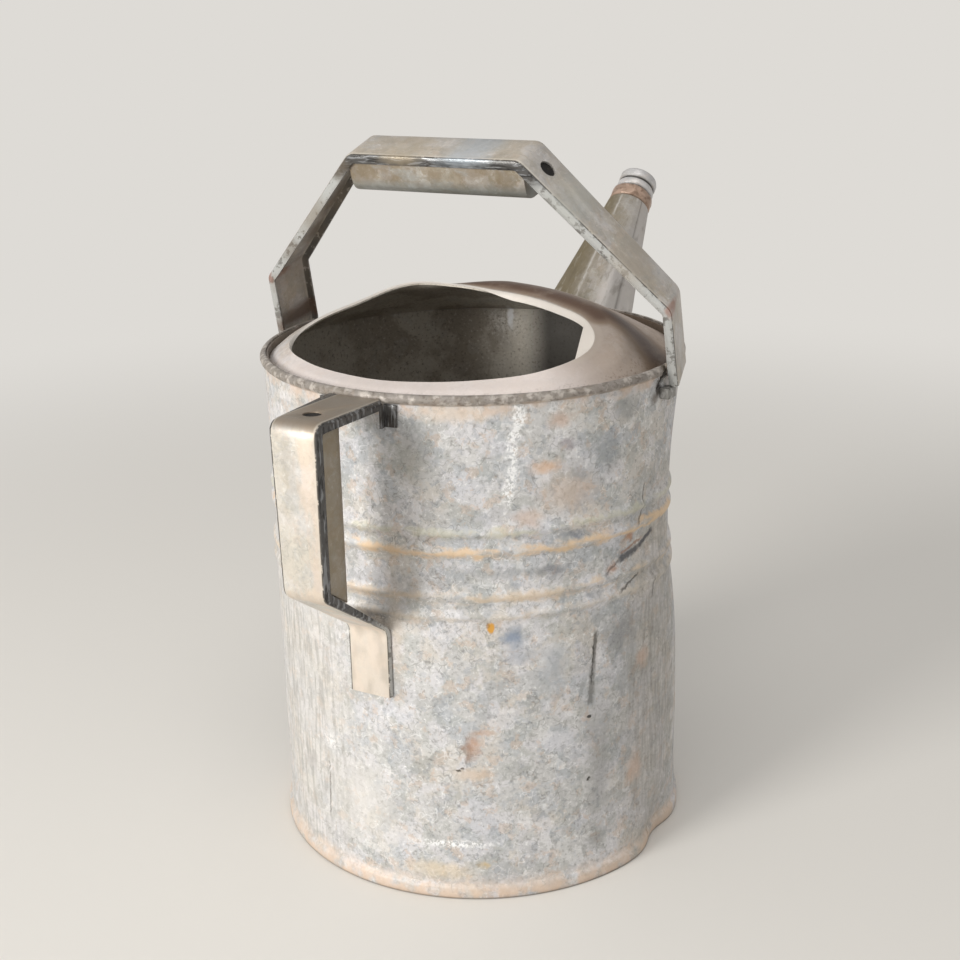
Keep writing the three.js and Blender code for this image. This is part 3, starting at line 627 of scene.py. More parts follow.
def spout_finish():
    """Sheet folded into the spout: olive-brown on its left folds and greyer on its right ones."""
    zinc = Finish("stained_galvanised_spout", "#8b8376", 0.6)
    mottle(zinc, 0.28)
    parts = zinc.node("SeparateXYZ", {0: zinc.place}).outputs
    zinc.tint("#6f6348", zinc.span(parts[1], -12, 10), 0.85)
    zinc.tint("#c9c4c1", zinc.span(parts[1], -8, -20), 0.75)
    streak = zinc.noise(4, 5, (5, 1, 4), 41, rough=0.65)
    zinc.tint("#5f5646", zinc.span(streak, 0.52, 0.68), 0.4)
    zinc.tint("#c9c5be", zinc.span(streak, 0.44, 0.3), 0.35)
    zinc.tint("#3c352b", zinc.read("seam"), 0.6)
    zinc.tint("#d6d2ce", zinc.read("ridge"), zinc.span(streak, 0.4, 0.55), 0.6)
    zinc.tint("#7b4a2c", zinc.read("rust"), zinc.span(streak, 0.35, 0.5), 0.8)
    return zinc.build(metallic=0.2)


def ferrule_finish():
    """The turned ferrule: bright worn rings, grooves painted dark as shade, and a brown collar."""
    zinc = Finish("worn_zinc_ferrule", "#b3aeaa", 0.42)
    mottle(zinc, 0.5)
    along = zinc.read("along")
    collar = zinc.span(along, COLLAR_LENGTH + 1, COLLAR_LENGTH - 0.5)
    zinc.tint("#a1846f", collar, 0.85)
    zinc.tint("#c6aa98", collar, zinc.span(zinc.noise(5, 3, seed=51), 0.5, 0.64), 0.6)
    zinc.tint("#7a6250", collar, zinc.span(zinc.noise(4, 3, seed=52), 0.52, 0.66), 0.7)
    # Painted shade in the grooves
    zinc.tint("#2f2a26", zinc.read("groove"), 0.9)
    zinc.tint("#e1dfdf", zinc.read("crown"), zinc.noise(6, 3, seed=53), 0.8)
    return zinc.build(metallic=0.4)


def strap_finish(name, across, edge, web, dark_share, run, stain=None):
    """Pressed strap, rubbed by hands: dull web, a painted highlight and a dark line beside each edge,
    and a worn nose with painted glints.
    """
    zinc = Finish(name, web, 0.42)
    mottle(zinc, 0.45)
    if stain:
        stain(zinc)
    side = zinc.math("ABSOLUTE", across(zinc))
    wear = zinc.noise(5, 5, seed=61, rough=0.65)
    zinc.tint("#847a69", zinc.span(zinc.noise(13, 5, (1, 1, 2), 63), 0.48, 0.66), 0.26)
    # Painted highlight where the web starts to bend into each edge
    zinc.tint("#d9d2c6", zinc.span(side, edge - 3.0, edge - 1.8), 0.4)
    nose = zinc.span(side, edge - 1.3, edge - 0.8)
    zinc.tint("#adb1b2", nose, 0.75)
    zinc.tint("#5b5650", nose, zinc.span(wear, 0.52, 0.6), 0.7)
    black = zinc.times(nose, dark_share(zinc))
    zinc.tint("#3b3836", black, 0.9)
    # Painted glints: light flecks along the blackened nose, standing in for the shine of its polished
    # metal
    glint = zinc.span(zinc.noise(1.2, 3, run, 65), 0.52, 0.62)
    zinc.tint("#a3a5a8", black, glint, 0.55)
    zinc.tint("#171412", black, zinc.span(zinc.noise(1.4, 3, run, 66), 0.52, 0.6), 0.7)
    line = zinc.times(zinc.span(side, edge - 1.8, edge - 1.4), zinc.span(side, edge - 0.8, edge - 1.1))
    zinc.tint("#2b2621", line, zinc.span(wear, 0.36, 0.46), 0.85)
    zinc.polish(0.27, nose)
    return zinc


CARRY_MIDDLE = (CARRY_FORWARD, 0, BODY_HEIGHT)
CARRY_ACROSS = (math.cos(CARRY_LEAN), 0, math.sin(CARRY_LEAN))
CARRY_UP = (-math.sin(CARRY_LEAN), 0, math.cos(CARRY_LEAN))
# Marks on the carry strap: place along and up it, reach, colour and strength
CARRY_MARKS = (
    ((131, 39), (4, 6), "#8a5440", 0.7),
    ((126, 34), (10, 9), "#8b8178", 0.4),
    ((-131, 39), (4, 7), "#93604a", 0.6),
    ((126, 4), (20, 10), "#5c4433", 0.8),
    ((122, 22), (9, 14), "#6d665c", 0.5),
    ((62, 113), (14, 10), "#6d6152", 0.6),
    ((-20, 121), (22, 8), "#a3adb6", 0.5),
    ((20, 121), (18, 8), "#a2937a", 0.5),
    ((-80, 96), (22, 16), "#b3b5b0", 0.5),
    ((-110, 62), (18, 16), "#a9a094", 0.5),
    ((90, 84), (22, 20), "#857866", 0.55),
    ((110, 60), (14, 14), "#6f6253", 0.5),
)


def carry_run(finish, direction):
    """How far a place lies from the carry handle's middle, in one direction of its leaning plane."""
    from_middle = finish.vector("SUBTRACT", finish.place, CARRY_MIDDLE)
    return finish.vector("DOT_PRODUCT", from_middle, direction)


def carry_across(finish):
    return carry_run(finish, CARRY_ACROSS)


def carry_dark(finish):
    """The hand has blackened the strap's nose along its top."""
    return finish.span(carry_run(finish, CARRY_UP), 104, 113)


def carry_finish():
    name, run = "handled_zinc_carry_strap", (1, 9, 1)
    zinc = strap_finish(name, carry_across, STRAP_HALF, "#b3a99b", carry_dark, run)
    along, up = carry_run(zinc, (0, 1, 0)), carry_run(zinc, CARRY_UP)
    flat = zinc.node("CombineXYZ", {0: along, 1: up}).outputs[0]
    torn = zinc.warped(flat, 6, 8)
    for centre, reach, colour, strength in CARRY_MARKS:
        zinc.tint(colour, zinc.spot(torn, centre, reach, 0.8), strength)
    return zinc.build(metallic=0.28)


def rear_across(finish):
    """How far a place lies across the tapering rear strap, as if it were full width all along."""
    side = finish.vector("DOT_PRODUCT", finish.place, (0, 1, 0))
    up = rear_up(finish)
    down = finish.node("MapRange", {0: up, 1: REAR_TOP, 2: REAR_BEND}).outputs[0]
    tab = finish.node("MapRange", {0: up, 1: REAR_BEND, 2: REAR_TAB}).outputs[0]
    taper = finish.math("MULTIPLY", down, REAR_LEFT[1] - REAR_LEFT[0])
    flare = finish.math("MULTIPLY", tab, REAR_LEFT[2] - REAR_LEFT[1])
    left = finish.math("ADD", finish.math("ADD", taper, flare), REAR_LEFT[0])
    narrow = finish.math("MULTIPLY", tab, REAR_RIGHT_TAB - STRAP_HALF)
    right = finish.math("MULTIPLY", finish.math("ADD", narrow, STRAP_HALF), -1.0)
    shares = [finish.math("DIVIDE", side, half) for half in (left, right)]
    return finish.math("MULTIPLY", finish.math("MAXIMUM", *shares), STRAP_HALF)


def rear_up(finish):
    return finish.vector("DOT_PRODUCT", finish.place, (0, 0, 1))


def rear_dark(finish):
    return finish.span(rear_up(finish), 168, 182)


def rear_stain(zinc):
    """Brown on top, where rain lies, and a cream bloom lower down."""
    up = rear_up(zinc)
    zinc.tint("#d9c3ae", zinc.span(zinc.noise(16, 4, (1, 1, 2.4), 64), 0.5, 0.6), 0.45)
    zinc.tint("#7b6d5d", zinc.span(up, 293.5, 298.5), 0.85)
    zinc.tint("#ecdfd1", zinc.span(up, 176, 162), 0.65)


def rear_finish():
    name, run, edge = "handled_zinc_rear_strap", (2, 1, 9), STRAP_HALF - 0.1
    zinc = strap_finish(name, rear_across, edge, "#cbc4b8", rear_dark, run, rear_stain)
    return zinc.build(metallic=0.28)


def grip_finish(name, underside):
    """The grips' rolled sheet: brown above, and another shade below where the hand goes round."""
    zinc = Finish(name, "#8e8370", 0.4)
    mottle(zinc, 0.36)
    brown = zinc.span(zinc.noise(16, 5, seed=71, rough=0.6), 0.45, 0.56)
    zinc.tint("#80705a", brown, 0.5)
    pale = zinc.span(zinc.noise(9, 5, (1, 3, 1), 72, rough=0.6), 0.53, 0.64)
    zinc.tint("#9aa0a0", pale, 0.35)
    low = zinc.span(carry_run(zinc, CARRY_UP), 108, 101)
    zinc.tint(underside, low, 0.5)
    return zinc.build(metallic=0.28)


def solder_finish():
    """Dull grey soft solder, lumpy from the iron."""
    zinc = Finish("old_soft_solder", "#8f8d89", 0.5)
    zinc.tint("#b5b4b2", zinc.span(zinc.noise(4, 3, seed=81), 0.5, 0.65), 0.8)
    zinc.tint("#5d5850", zinc.span(zinc.noise(2.5, 3, seed=82), 0.55, 0.7), 0.7)
    zinc.lift(zinc.noise(3, 3, seed=83), 0.8)
    return zinc.build(metallic=0.35)


def vent_shade_finish():
    """Near-black painted shade, lightly mottled, for the dark of the straps' hollows seen through
    their vents.
    """
    shade_paint = Finish("black_painted_vent_shade", "#14110f", 0.8)
    shade_paint.tint("#2a241e", shade_paint.span(shade_paint.noise(3, 4, seed=91), 0.5, 0.65))
    return shade_paint.build(metallic=0.0)


INSIDE = inside_finish()
SOLDER = solder_finish()
CARRY = carry_finish()
REAR = rear_finish()
CARRY_GRIP = grip_finish("handled_zinc_carry_grip", "#868f90")
REAR_GRIP = grip_finish("handled_zinc_rear_grip", "#988a74")
VENT_SHADE_PAINT = vent_shade_finish()

# Body


def wrapped(angle):
    return (angle + np.pi) % (2 * np.pi) - np.pi


def hollows(angle, height, dents):
    total = np.zeros(np.broadcast(angle, height).shape)
    for at, level, depth, spread, reach in dents:
        away = wrapped(angle - math.radians(at)) / math.radians(spread)
        total += depth * np.exp(-(away**2 + ((height - level) / reach) ** 2) / 2)
    return total


def smoothstep(value, start, end):
    share = np.clip((value - start) / (end - start), 0, 1)
    return share * share * (3 - 2 * share)


def wall_radius(angle, height):
    """The dented, ridged and slightly wavy wall's radius."""
    root = math.asin((ROOT_HALF + 6) / BODY_RADIUS)
    fade = smoothstep(np.abs(wrapped(angle)), root, root + math.radians(8))
    ridge = np.zeros(np.broadcast(angle, height).shape)
    for at in SWAGE_HEIGHTS:
        share = np.clip(np.abs(height - at) / (SWAGE_WIDTH / 2), 0, 1)
        ridge += SWAGE_RISE * (0.5 + 0.5 * np.cos(np.pi * share))
    inside = smoothstep(height, 8, 40) * smoothstep(height, BEAD_FOOT - 2, BEAD_FOOT - 40)
    wave = 0.35 * np.sin(3 * angle + 1) * np.sin(height / 47) + 0.22 * np.sin(7 * angle + height / 29)
    wave += 0.12 * np.sin(13 * angle - height / 17 + 2)
    knocks = hollows(angle, height, KNOCKS)
    return BODY_RADIUS + fade * ridge - hollows(angle, height, DENTS) + inside * (wave - knocks - 0.4)


def wall_rings(rows, columns):
    """Rings on the wall; a row is how far it stands off the wall, and its height."""
    angle = np.linspace(0, 2 * np.pi, columns, endpoint=False)[None, :]
    stand_off, height = (np.array(rows)[:, i, None] for i in (0, 1))
    radius = wall_radius(angle, height) + stand_off
    tall = np.broadcast_to(height, radius.shape)
    return np.stack([radius * np.cos(angle), radius * np.sin(angle), tall], -1)


def tear_tool():
    """The ragged hole in the rim beside the carry handle's right foot."""
    turn = math.radians(TEAR_ANGLE)
    out = np.array([math.cos(turn), math.sin(turn), 0])
    side = np.array([-math.sin(turn), math.cos(turn), 0])
    up = np.array([0, 0, 1])
    middle = out * (BODY_RADIUS - 4 * WALL) + up * (BODY_HEIGHT - TEAR_DROP)
    outline = [middle + side * x + up * z for x, z in TEAR_EDGE]
    return prism("tear", outline, out * 12 * WALL)


def port_tool():
    """The round hole through the wall into the spout."""
    level = (ROOT_WIDEST + ROOT_LOW_SIDE) / 2
    turns = [2 * math.pi * i / 48 for i in range(48)]
    ring = [(SPOUT_PORT * math.cos(t), level + SPOUT_PORT * math.sin(t)) for t in turns]
    return prism("port", [(BODY_RADIUS - 12, y, z) for y, z in ring], (SPOUT_PORT, 0, 0))


def body(columns=360):
    hem = [(-WALL, 0), (HEM_DEPTH - 0.7, 0), (HEM_DEPTH, 0.7), (HEM_DEPTH, 3.5), (HEM_DEPTH, 6.2)]
    hem += [(HEM_DEPTH * 0.8, HEM_HEIGHT + 0.4), (HEM_DEPTH * 0.3, HEM_HEIGHT + 1.2)]
    levels = [*np.arange(HEM_HEIGHT + HEM_DEPTH, 168, 2.5), *np.arange(168, 234, 1.1)]
    levels += [*np.arange(234, BEAD_FOOT, 2.5), BEAD_FOOT]
    turns = np.radians(np.linspace(-70, 170, 13))
    bead = [(RIM_BEAD * math.cos(t) - WALL / 2, RIM_BEAD * math.sin(t)) for t in turns]
    bead = [(max(off, -WALL), BODY_HEIGHT - RIM_BEAD + z) for off, z in bead]
    down = [*np.arange(BEAD_FOOT, 234, -3.5), *np.arange(234, 168, -2.2), *np.arange(168, 1, -6), 0.0]
    outer = hem + [(0, z) for z in levels] + bead
    rows = outer + [(-WALL, z) for z in down]
    piece = ring_piece("can_body", wall_rings(rows, columns), wall_finish(), INSIDE)
    row_of_face = np.arange(len(piece.data.polygons)) // columns
    inner = (row_of_face >= len(outer)).astype(np.int32)
    piece.data.polygons.foreach_set("material_index", inner)
    cut(piece, port_tool())
    cut(piece, tear_tool())
    smooth(piece, 48)
    stands_for(piece, "body_shell")


# Hood


def mouth_edge(angle):
    """How far the mouth's edge lies from the mouth's centre, and how high it is."""
    count = len(MOUTH_REACH)
    place = (angle % (2 * np.pi)) / (2 * np.pi) * count
    first = np.floor(place).astype(int)
    t = place - first
    reach = np.array(MOUTH_REACH, float)
    a, b, c, d = (reach[(first + k) % count] for k in (-1, 0, 1, 2))
    edge = (2 * t**3 - 3 * t**2 + 1) * b + (t**3 - 2 * t**2 + t) * (c - a) / 2
    edge += (-2 * t**3 + 3 * t**2) * c + (t**3 - t**2) * (d - b) / 2
    x = MOUTH_CENTRE + edge * np.cos(angle)
    return edge, BODY_HEIGHT + MOUTH_RISE + MOUTH_TILT * x + MOUTH_CURL * x * x


def tongue_reach(angle):
    """The straight edge of the tongue that is folded into the mouth's right end, as a reach."""
    ends = []
    for side in TONGUE:
        edge, _ = mouth_edge(np.array([math.radians(side)]))
        ends.append(edge[0] * np.array([math.cos(math.radians(side)), math.sin(math.radians(side))]))
    run = ends[1] - ends[0]
    across = np.cos(angle) * run[1] - np.sin(angle) * run[0]
    reach = (ends[0][0] * run[1] - ends[0][1] * run[0]) / np.where(np.abs(across) < 1e-6, 1e-6, across)
    middle, half = math.radians(sum(TONGUE) / 2), math.radians((TONGUE[1] - TONGUE[0]) / 2)
    return np.where(np.abs(wrapped(angle - middle)) < half, reach, np.inf)


def flowing(points, steps):
    """A smooth line through rows of points, with steps points to each stretch."""
    count = len(points)
    rows = []
    for i in range(count - 1):
        a, b, c, d = (points[min(max(i + k, 0), count - 1)] for k in (-1, 0, 1, 2))
        for t in np.linspace(0, 1, steps, endpoint=False):
            curve = 2 * b + (c - a) * t + (2 * a - 5 * b + 4 * c - d) * t**2
            rows.append((curve + (3 * b - a - 3 * c + d) * t**3) / 2)
    rows.append(points[-1])
    return np.array(rows)


def offset_line(line, distance):
    """Lines of shape rows x columns x 2, moved sideways by a distance."""
    run = np.gradient(line, axis=0)
    run /= np.linalg.norm(run, axis=-1, keepdims=True)
    return line + distance * np.stack([-run[..., 1], run[..., 0]], -1)


def hood_lines(angle):
    """The hood's upper side from its hem to its lip, as reach and height at each turn."""
    edge, top = mouth_edge(angle)
    lip = BODY_RADIUS - WALL - CLEARANCE - HOOD_WALL
    along = MOUTH_CENTRE * np.cos(angle)
    foot = -along + np.sqrt(along**2 - MOUTH_CENTRE**2 + (lip - 0.4) ** 2)
    seat = np.full_like(foot, BODY_HEIGHT - HOOD_SINK)
    front = smoothstep(np.cos(angle), -0.15, 0.55)
    left = smoothstep(np.sin(angle), -0.1, 0.6)
    offset = CREST["offset"][0] + (CREST["offset"][1] - CREST["offset"][0]) * left
    rise = CREST["rise"][0] + (CREST["rise"][1] - CREST["rise"][0]) * left
    crest_x = (1 - front) * (edge + foot) / 2 + front * (edge + offset)
    crest_z = (1 - front) * ((top + seat) / 2 + 1.2) + front * (top + rise)
    fall = np.stack([(crest_x + foot) / 2, (crest_z + seat) / 2 + 1.5 * front], -1)
    top = top + FAR_LIFT * np.exp(-((wrapped(angle - math.radians(46)) / math.radians(17)) ** 2))
    cut_edge = smoothstep(np.cos(angle - math.radians(52)), 0.35, 0.75)
    drop = MOUTH_HEM_DROP * (1 - 0.8 * cut_edge)
    hem = [np.stack([np.minimum(edge - 0.8, tongue_reach(angle)), top - drop], -1)]
    hem += [np.stack([edge - 0.3, top - 0.8], -1)]
    slope = [np.stack([edge + 0.7, top], -1), np.stack([crest_x, crest_z], -1), fall]
    slope += [np.stack([foot, seat], -1)]
    upper = flowing(slope, 12)
    return np.concatenate([hem, upper, [np.stack([foot + 0.4, seat + HOOD_LIP], -1)]])


def hood(columns=360):
    angle = np.linspace(0, 2 * np.pi, columns, endpoint=False)
    line = hood_lines(angle)
    under = offset_line(line, -HOOD_WALL)[::-1]
    outline = np.concatenate([line, under])
    x = MOUTH_CENTRE + outline[..., 0] * np.cos(angle)
    y = outline[..., 0] * np.sin(angle)
    z = outline[..., 1]
    near = smoothstep(np.hypot(x, y), BODY_RADIUS * 0.7, BODY_RADIUS * 0.97)
    shrink = 1 - near * hollows(np.arctan2(y, x), z, DENTS) / np.hypot(x, y)
    grid = np.stack([x * shrink, y * shrink, z], -1)
    piece = ring_piece("can_hood", grid, hood_finish(), INSIDE)
    row_of_face = np.arange(len(piece.data.polygons)) // columns
    piece.data.polygons.foreach_set("material_index", (row_of_face >= len(line)).astype(np.int32))
    mark_hood(piece, angle, len(line))
    smooth(piece, 48)
    stands_for(piece, "hood")


def mark_hood(piece, angle, rows):
    """Marks where the hood's brown bands, tints and painted light lie; a share runs from 0 at the
    mouth to 1 at the wall.
    """
    share = np.clip((np.arange(rows) - 2) / (rows - 4), 0, 1)
    share = np.concatenate([share, share[::-1]])[:, None] * np.ones(len(angle))
    turn = np.degrees(wrapped(angle))
    crest_run = smoothstep(turn, 42, 8) * smoothstep(turn, -74, -64)
    along_crest = np.exp(-(((share - 0.2) / 0.15) ** 2)) * crest_run
    fall_turn = -60 - 13 * share
    down_flank = np.exp(-(((turn - fall_turn) / 8) ** 2)) * smoothstep(share, 0.12, 0.3)
    beyond = smoothstep(turn, fall_turn - 2, fall_turn + 5) * smoothstep(turn, 60, 20)
    folded = smoothstep(turn, TONGUE[0] - 3, TONGUE[0] + 1)
    folded = folded * smoothstep(turn, TONGUE[1] + 3, TONGUE[1] - 1)
    mark_points(piece, "share", share)
    mark_points(piece, "lip", folded * smoothstep(share, 0.13, 0.1))
    mark_points(piece, "brown", np.maximum(along_crest, down_flank))
    mark_points(piece, "far", beyond * smoothstep(share, 0.3, 0.45))
    flank = smoothstep(turn, -118, -92) * smoothstep(turn, fall_turn + 2, fall_turn - 5)
    mark_points(piece, "flank", flank * np.ones_like(share))
    # Painted light: 'pale' is 1 on the side of the hood that faces the lamps and the camera
    front_turn = np.cos(angle - math.radians(200))
    mark_points(piece, "pale", np.ones_like(share) * smoothstep(front_turn, -0.1, 0.6))


# Spout


def round_corners(ring, times):
    """Softens a ring's folds by averaging each point with its neighbours."""
    for _ in range(times):
        ring = (np.roll(ring, 1, 0) + 2 * ring + np.roll(ring, -1, 0)) / 4
    return ring


def root_ring(grow, radius, per_fold):
    """The spout's root on the wall, grown about its middle, with points spread along its folds."""
    corners = np.array(SPOUT_ROOT, float)
    middle = (ROOT_HIGH + ROOT_LOW) / 2
    wide, tall = 1 + grow / ROOT_HALF, 1 + grow / (ROOT_HIGH - middle)
    corners = np.stack([corners[:, 0] * wide, middle + (corners[:, 1] - middle) * tall], -1)
    shares = np.arange(per_fold)[:, None] / per_fold
    points = [a + (b - a) * shares for a, b in zip(corners, np.roll(corners, -1, 0))]
    points = round_corners(np.concatenate(points), per_fold // 3)
    return np.stack([np.sqrt(radius**2 - points[:, 0] ** 2), points[:, 0], points[:, 1]], -1)


def tip_ring(radius, along, count):
    """A round ring on the spout's axis, starting at its underside."""
    axis = np.array([math.cos(SPOUT_SLOPE), 0, math.sin(SPOUT_SLOPE)])
    up = np.array([-axis[2], 0, axis[0]])
    turn = np.linspace(0, 2 * np.pi, count, endpoint=False)[:, None]
    across = np.array([0, 1, 0])
    return SPOUT_TIP + axis * along - up * radius * np.cos(turn) + across * radius * np.sin(turn)


def spout(per_fold=20, steps=44):
    count = 8 * per_fold
    seat = BODY_RADIUS + CLEARANCE
    shares = np.linspace(0, 1, steps)[:, None, None]
    around = np.arange(count) / count
    root, neck = root_ring(0, seat, per_fold), tip_ring(SPOUT_NECK_RADIUS, 0, count)
    inner_root = root_ring(-WALL, seat, per_fold)
    inner_neck = tip_ring(SPOUT_NECK_RADIUS - WALL, -WALL, count)
    outside = root + (neck - root) * shares
    inside = inner_root + (inner_neck - inner_root) * shares[::-1]
    lap = smoothstep(around, 0.66, 0.668) * smoothstep(around, 0.735, 0.70)
    out = outside - outside.mean(1, keepdims=True)
    out /= np.linalg.norm(out, axis=-1, keepdims=True)
    outside = outside + out * (0.9 * lap * (1 - shares[..., 0] ** 6))[..., None]
    end = [tip_ring(r, a, count) for r, a in ((SPOUT_TIP_RADIUS, 0.6), (SPOUT_TIP_RADIUS, 7.7))]
    back = [tip_ring(SPOUT_TIP_RADIUS - WALL, a, count) for a in (7.7, -0.6)]
    grid = np.concatenate([outside, end, back, inside])
    piece = ring_piece("can_spout", grid, spout_finish())
    shape = grid.shape[:2]
    is_outside = (np.arange(shape[0]) < steps)[:, None]
    along = np.clip(np.arange(shape[0]) / (steps - 1), 0, 1)[:, None]
    fold = np.abs((around * 8 + 0.5) % 1 - 0.5)
    lap_line = np.exp(-(((around - 0.664) / 0.004) ** 2))
    seam = np.maximum(lap_line, 0.8 * np.exp(-(((around - 0.748) / 0.003) ** 2)))
    mark_points(piece, "seam", is_outside * seam * np.ones(shape))
    mark_points(piece, "ridge", is_outside * np.exp(-((fold / 0.05) ** 2)) * np.ones(shape))
    rust = np.exp(-(((around - 0.76) / 0.02) ** 2)) * np.exp(-(((along - 0.42) / 0.06) ** 2))
    mark_points(piece, "rust", is_outside * rust)
    smooth(piece, 60)
    stands_for(piece, "spout_tube")


def spout_fillet(per_fold=20):
    """The run of solder round the spout's root, heaped unevenly."""
    low = BODY_RADIUS + CLEARANCE
    profile = ((0.6, 0.0), (3.6, 0.0), (3.3, 0.7), (2.4, 1.3), (1.5, 1.7), (0.8, 1.4))
    around = np.linspace(0, 2 * np.pi, 8 * per_fold, endpoint=False)
    heap = 1 + 0.25 * np.sin(9 * around) * np.sin(4 * around + 1) + 0.12 * np.sin(23 * around)
    rings = [root_ring(grow, low, per_fold) for grow, _ in profile]
    for ring, (_, rise) in zip(rings, profile):
        flat = np.hypot(ring[:, 0], ring[:, 1])
        ring[:, :2] *= ((flat + rise * heap) / flat)[:, None]
    piece = ring_piece("can_spout_solder", np.array(rings), SOLDER)
    smooth(piece, 70)
    stands_for(piece, "spout_solder")


def ferrule(columns=120):
    bore = SPOUT_TIP_RADIUS + 1.4 * CLEARANCE
    groove = RING_RADIUS - 1.1
    ring_end = (COLLAR_LENGTH + FERRULE_LENGTH) / 2
    corners = (
        (bore, 1.2), (COLLAR_RADIUS - 1.2, 1.2), (COLLAR_RADIUS - 0.3, 2.0), (COLLAR_RADIUS, 3.2),
        (COLLAR_RADIUS - 0.2, 6.0), (COLLAR_RADIUS, COLLAR_LENGTH - 2.4),
        (COLLAR_RADIUS - 0.3, COLLAR_LENGTH - 0.8), (COLLAR_RADIUS - 1.1, COLLAR_LENGTH),
        (groove, COLLAR_LENGTH + 0.5), (groove, COLLAR_LENGTH + 1.1),
        (RING_RADIUS - 0.4, COLLAR_LENGTH + 1.8), (RING_RADIUS, COLLAR_LENGTH + 2.8),
        (RING_RADIUS, ring_end - 2.2), (RING_RADIUS - 0.4, ring_end - 1.2), (groove, ring_end - 0.5),
        (groove, ring_end + 0.5), (RING_RADIUS - 0.4, ring_end + 1.2), (RING_RADIUS, ring_end + 2.2),
        (RING_RADIUS, FERRULE_LENGTH - 1.8), (RING_RADIUS - 0.5, FERRULE_LENGTH - 0.5),
        (RING_RADIUS - 1.3, FERRULE_LENGTH), (FERRULE_BORE + 0.5, FERRULE_LENGTH),
        (FERRULE_BORE, FERRULE_LENGTH - 0.6), (FERRULE_BORE, 8.3), (bore, 8.3),
    )
    turn = np.linspace(0, 2 * np.pi, columns, endpoint=False)
    worn = 0.12 * np.sin(5 * turn + 1) + 0.08 * np.sin(11 * turn)
    rings = []
    for radius, along in corners:
        ring = tip_ring(1.0, 0, columns) - SPOUT_TIP
        loose = worn if radius > bore else 0 * worn
        rings.append(ring * (radius + loose)[:, None] + tip_ring(0, along, columns))
    piece = ring_piece("can_spout_ferrule", np.array(rings), ferrule_finish())
    radii, alongs = np.array(corners).T
    # The grooves' floors, which the finish paints dark as shade
    deep = (np.abs(radii - groove) < 0.01).astype(float)
    crown = (np.abs(radii - RING_RADIUS) < 0.01).astype(float)
    for name, values in (("along", alongs), ("groove", deep), ("crown", crown)):
        mark_points(piece, name, np.repeat(values, columns))
    smooth(piece, 45)
    stands_for(piece, "spout_ferrule")


def vent_shade_disc(name, vent, out):
    """A black disc of painted shade inside a strap's channel, which shows through its vent as the dark
    hollow.
    """
    out = Vector(out)
    side = out.orthogonal().normalized()
    other = out.cross(side)
    centre = Vector(vent) - out * (WALL + 0.2)
    turns = [2 * math.pi * i / 24 for i in range(24)]
    ways = [side * math.cos(t) + other * math.sin(t) for t in turns]
    ring = [tuple(centre + VENT_SHADE_RADIUS * way) for way in ways]
    piece = prism(name, ring, tuple(-VENT_SHADE_THICK * out))
    piece.data.materials.append(VENT_SHADE_PAINT)
    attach(piece, "root")


def vent_shade_discs():
    run = (CARRY_CORNER - CARRY_KINK) / np.linalg.norm(CARRY_CORNER - CARRY_KINK)
    along, up = CARRY_CORNER - CARRY_VENT_DROP * run
    sin, cos = math.sin(CARRY_LEAN), math.cos(CARRY_LEAN)
    carry_vent = (CARRY_FORWARD - up * sin, along, BODY_HEIGHT + up * cos)
    vent_shade_disc("can_carry_vent_painted_shade", carry_vent, (-run[0] * sin, -run[1], run[0] * cos))
    vent_shade_disc("can_rear_vent_painted_shade", (REAR_VENT_INSET - REAR_REACH, 0, REAR_TOP), (0, 0, 1))


# Stage


def floor(half=60.0):
    """A pale floor."""
    mesh = bpy.data.meshes.new("floor")
    corners = [(-half, -half, 0), (half, -half, 0), (half, half, 0), (-half, half, 0)]
    mesh.from_pydata(corners, [], [(0, 1, 2, 3)])
    mesh.materials.append(floor_finish())
    placed("floor", mesh)


def floor_finish():
    """Matt pale paint, which the camera sees as evenly pale into the distance."""
    paint = Finish("pale_studio_floor", FLOOR_COLOUR, 0.9)
    material = paint.build(metallic=0.0)
    rays = paint.node("LightPath").outputs
    seen = paint.math("ADD", rays["Is Camera Ray"], rays["Is Glossy Ray"])
    seen = paint.math("ADD", seen, rays["Is Transmission Ray"])
    far = paint.span(paint.vector("LENGTH", paint.place), 500, 1500)
    glow = paint.node("Emission", {"Color": srgb(BACKDROP_COLOUR)}).outputs[0]
    output = paint.tree.nodes["Material Output"]
    lit = output.inputs["Surface"].links[0].from_socket
    mixed = paint.node("MixShader", {0: paint.times(seen, far), 1: lit, 2: glow})
    paint.tree.links.new(mixed.outputs[0], output.inputs["Surface"])
    return material


def lamp(name, heading, height, distance, width, power, colour):
    """A round soft lamp, aimed at the can from a heading in degrees and a height in degrees."""
    light = bpy.data.lights.new(name, "AREA")
    light.shape = "DISK"
    light.size = width
    light.energy = power
    light.color = srgb(colour)[:3]
    target = Vector((AXIS.x, AXIS.y, 0.17))
    heading, height = math.radians(heading), math.radians(height)
    flat = math.cos(height)
    out = Vector((flat * math.cos(heading), flat * math.sin(heading), math.sin(height)))
    holder = placed(name, light)
    holder.location = target + out * distance
    holder.rotation_euler = out.to_track_quat("Z", "Y").to_euler()


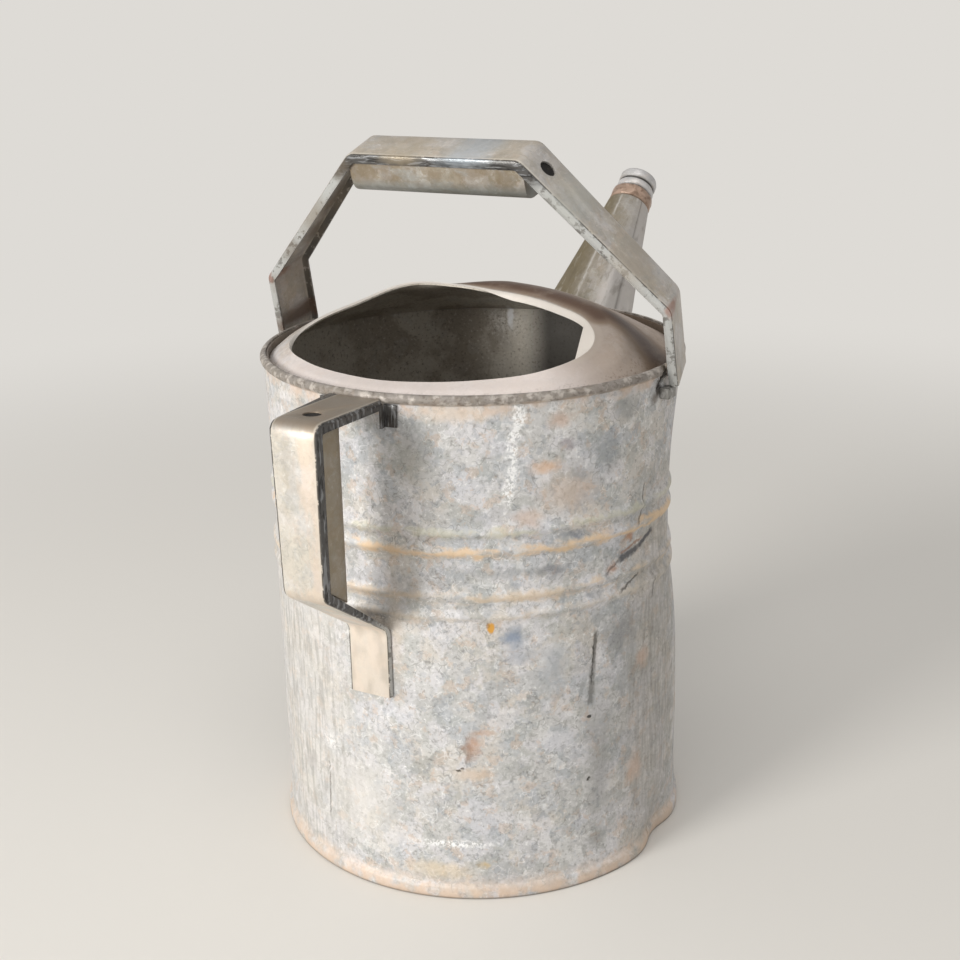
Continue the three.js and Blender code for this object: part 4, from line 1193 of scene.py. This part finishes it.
def lights():
    """Even light from all round, a window on the left and a weak fill; the camera sees a backdrop."""
    world = bpy.data.worlds.new("studio")
    world.use_nodes = True
    nodes, links = world.node_tree.nodes, world.node_tree.links
    room, backdrop = nodes["Background"], nodes.new("ShaderNodeBackground")
    room.inputs["Color"].default_value = srgb("#fbfaf8")
    room.inputs["Strength"].default_value = 0.54
    backdrop.inputs["Color"].default_value = srgb(BACKDROP_COLOUR)
    mix = nodes.new("ShaderNodeMixShader")
    links.new(nodes.new("ShaderNodeLightPath").outputs["Is Camera Ray"], mix.inputs[0])
    links.new(room.outputs[0], mix.inputs[1])
    links.new(backdrop.outputs[0], mix.inputs[2])
    links.new(mix.outputs[0], nodes["World Output"].inputs["Surface"])
    bpy.context.scene.world = world
    lamp("window_left", 160, 17, 2.6, 1.0, 52, "#fffdf9")
    lamp("ceiling_fill", 200, 68, 2.4, 1.8, 16, "#fffdfa")


def camera():
    lens = bpy.data.cameras.new("camera")
    lens.lens = CAMERA_LENS
    lens.sensor_width = SENSOR
    lens.clip_end = 200
    holder = placed("camera", lens)
    right_angle = math.pi / 2
    place = Matrix.Translation(Vector(CAMERA_PLACE) * MM + AXIS)
    heading = Matrix.Rotation(CAMERA_HEADING - right_angle, 4, "Z")
    dip = Matrix.Rotation(right_angle - CAMERA_DIP, 4, "X")
    holder.matrix_world = place @ heading @ dip @ Matrix.Rotation(CAMERA_ROLL, 4, "Z")
    bpy.context.scene.camera = holder


camera()
lights()
floor()
bpy.context.scene.view_settings.view_transform = "Standard"

body()
hood()
spout()
spout_fillet()
ferrule()
for part, node, finish, slot in (
    ("can_carry_strap", "carry_handle_strap", CARRY, "handled_zinc"),
    ("can_carry_grip", "carry_handle_grip", CARRY_GRIP, "handled_zinc"),
    ("can_rear_strap", "rear_handle_strap", REAR, "handled_zinc"),
    ("can_rear_grip", "rear_handle_grip", REAR_GRIP, "handled_zinc"),
    ("can_left_foot_solder", "carry_foot_solder_left", SOLDER, "old_solder"),
    ("can_right_foot_solder", "carry_foot_solder_right", SOLDER, "old_solder"),
):
    dressed(part, node, finish, 0.35)

vent_shade_discs()

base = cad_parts["base_disc"]
for slot in base.material_slots:
    slot.material = INSIDE
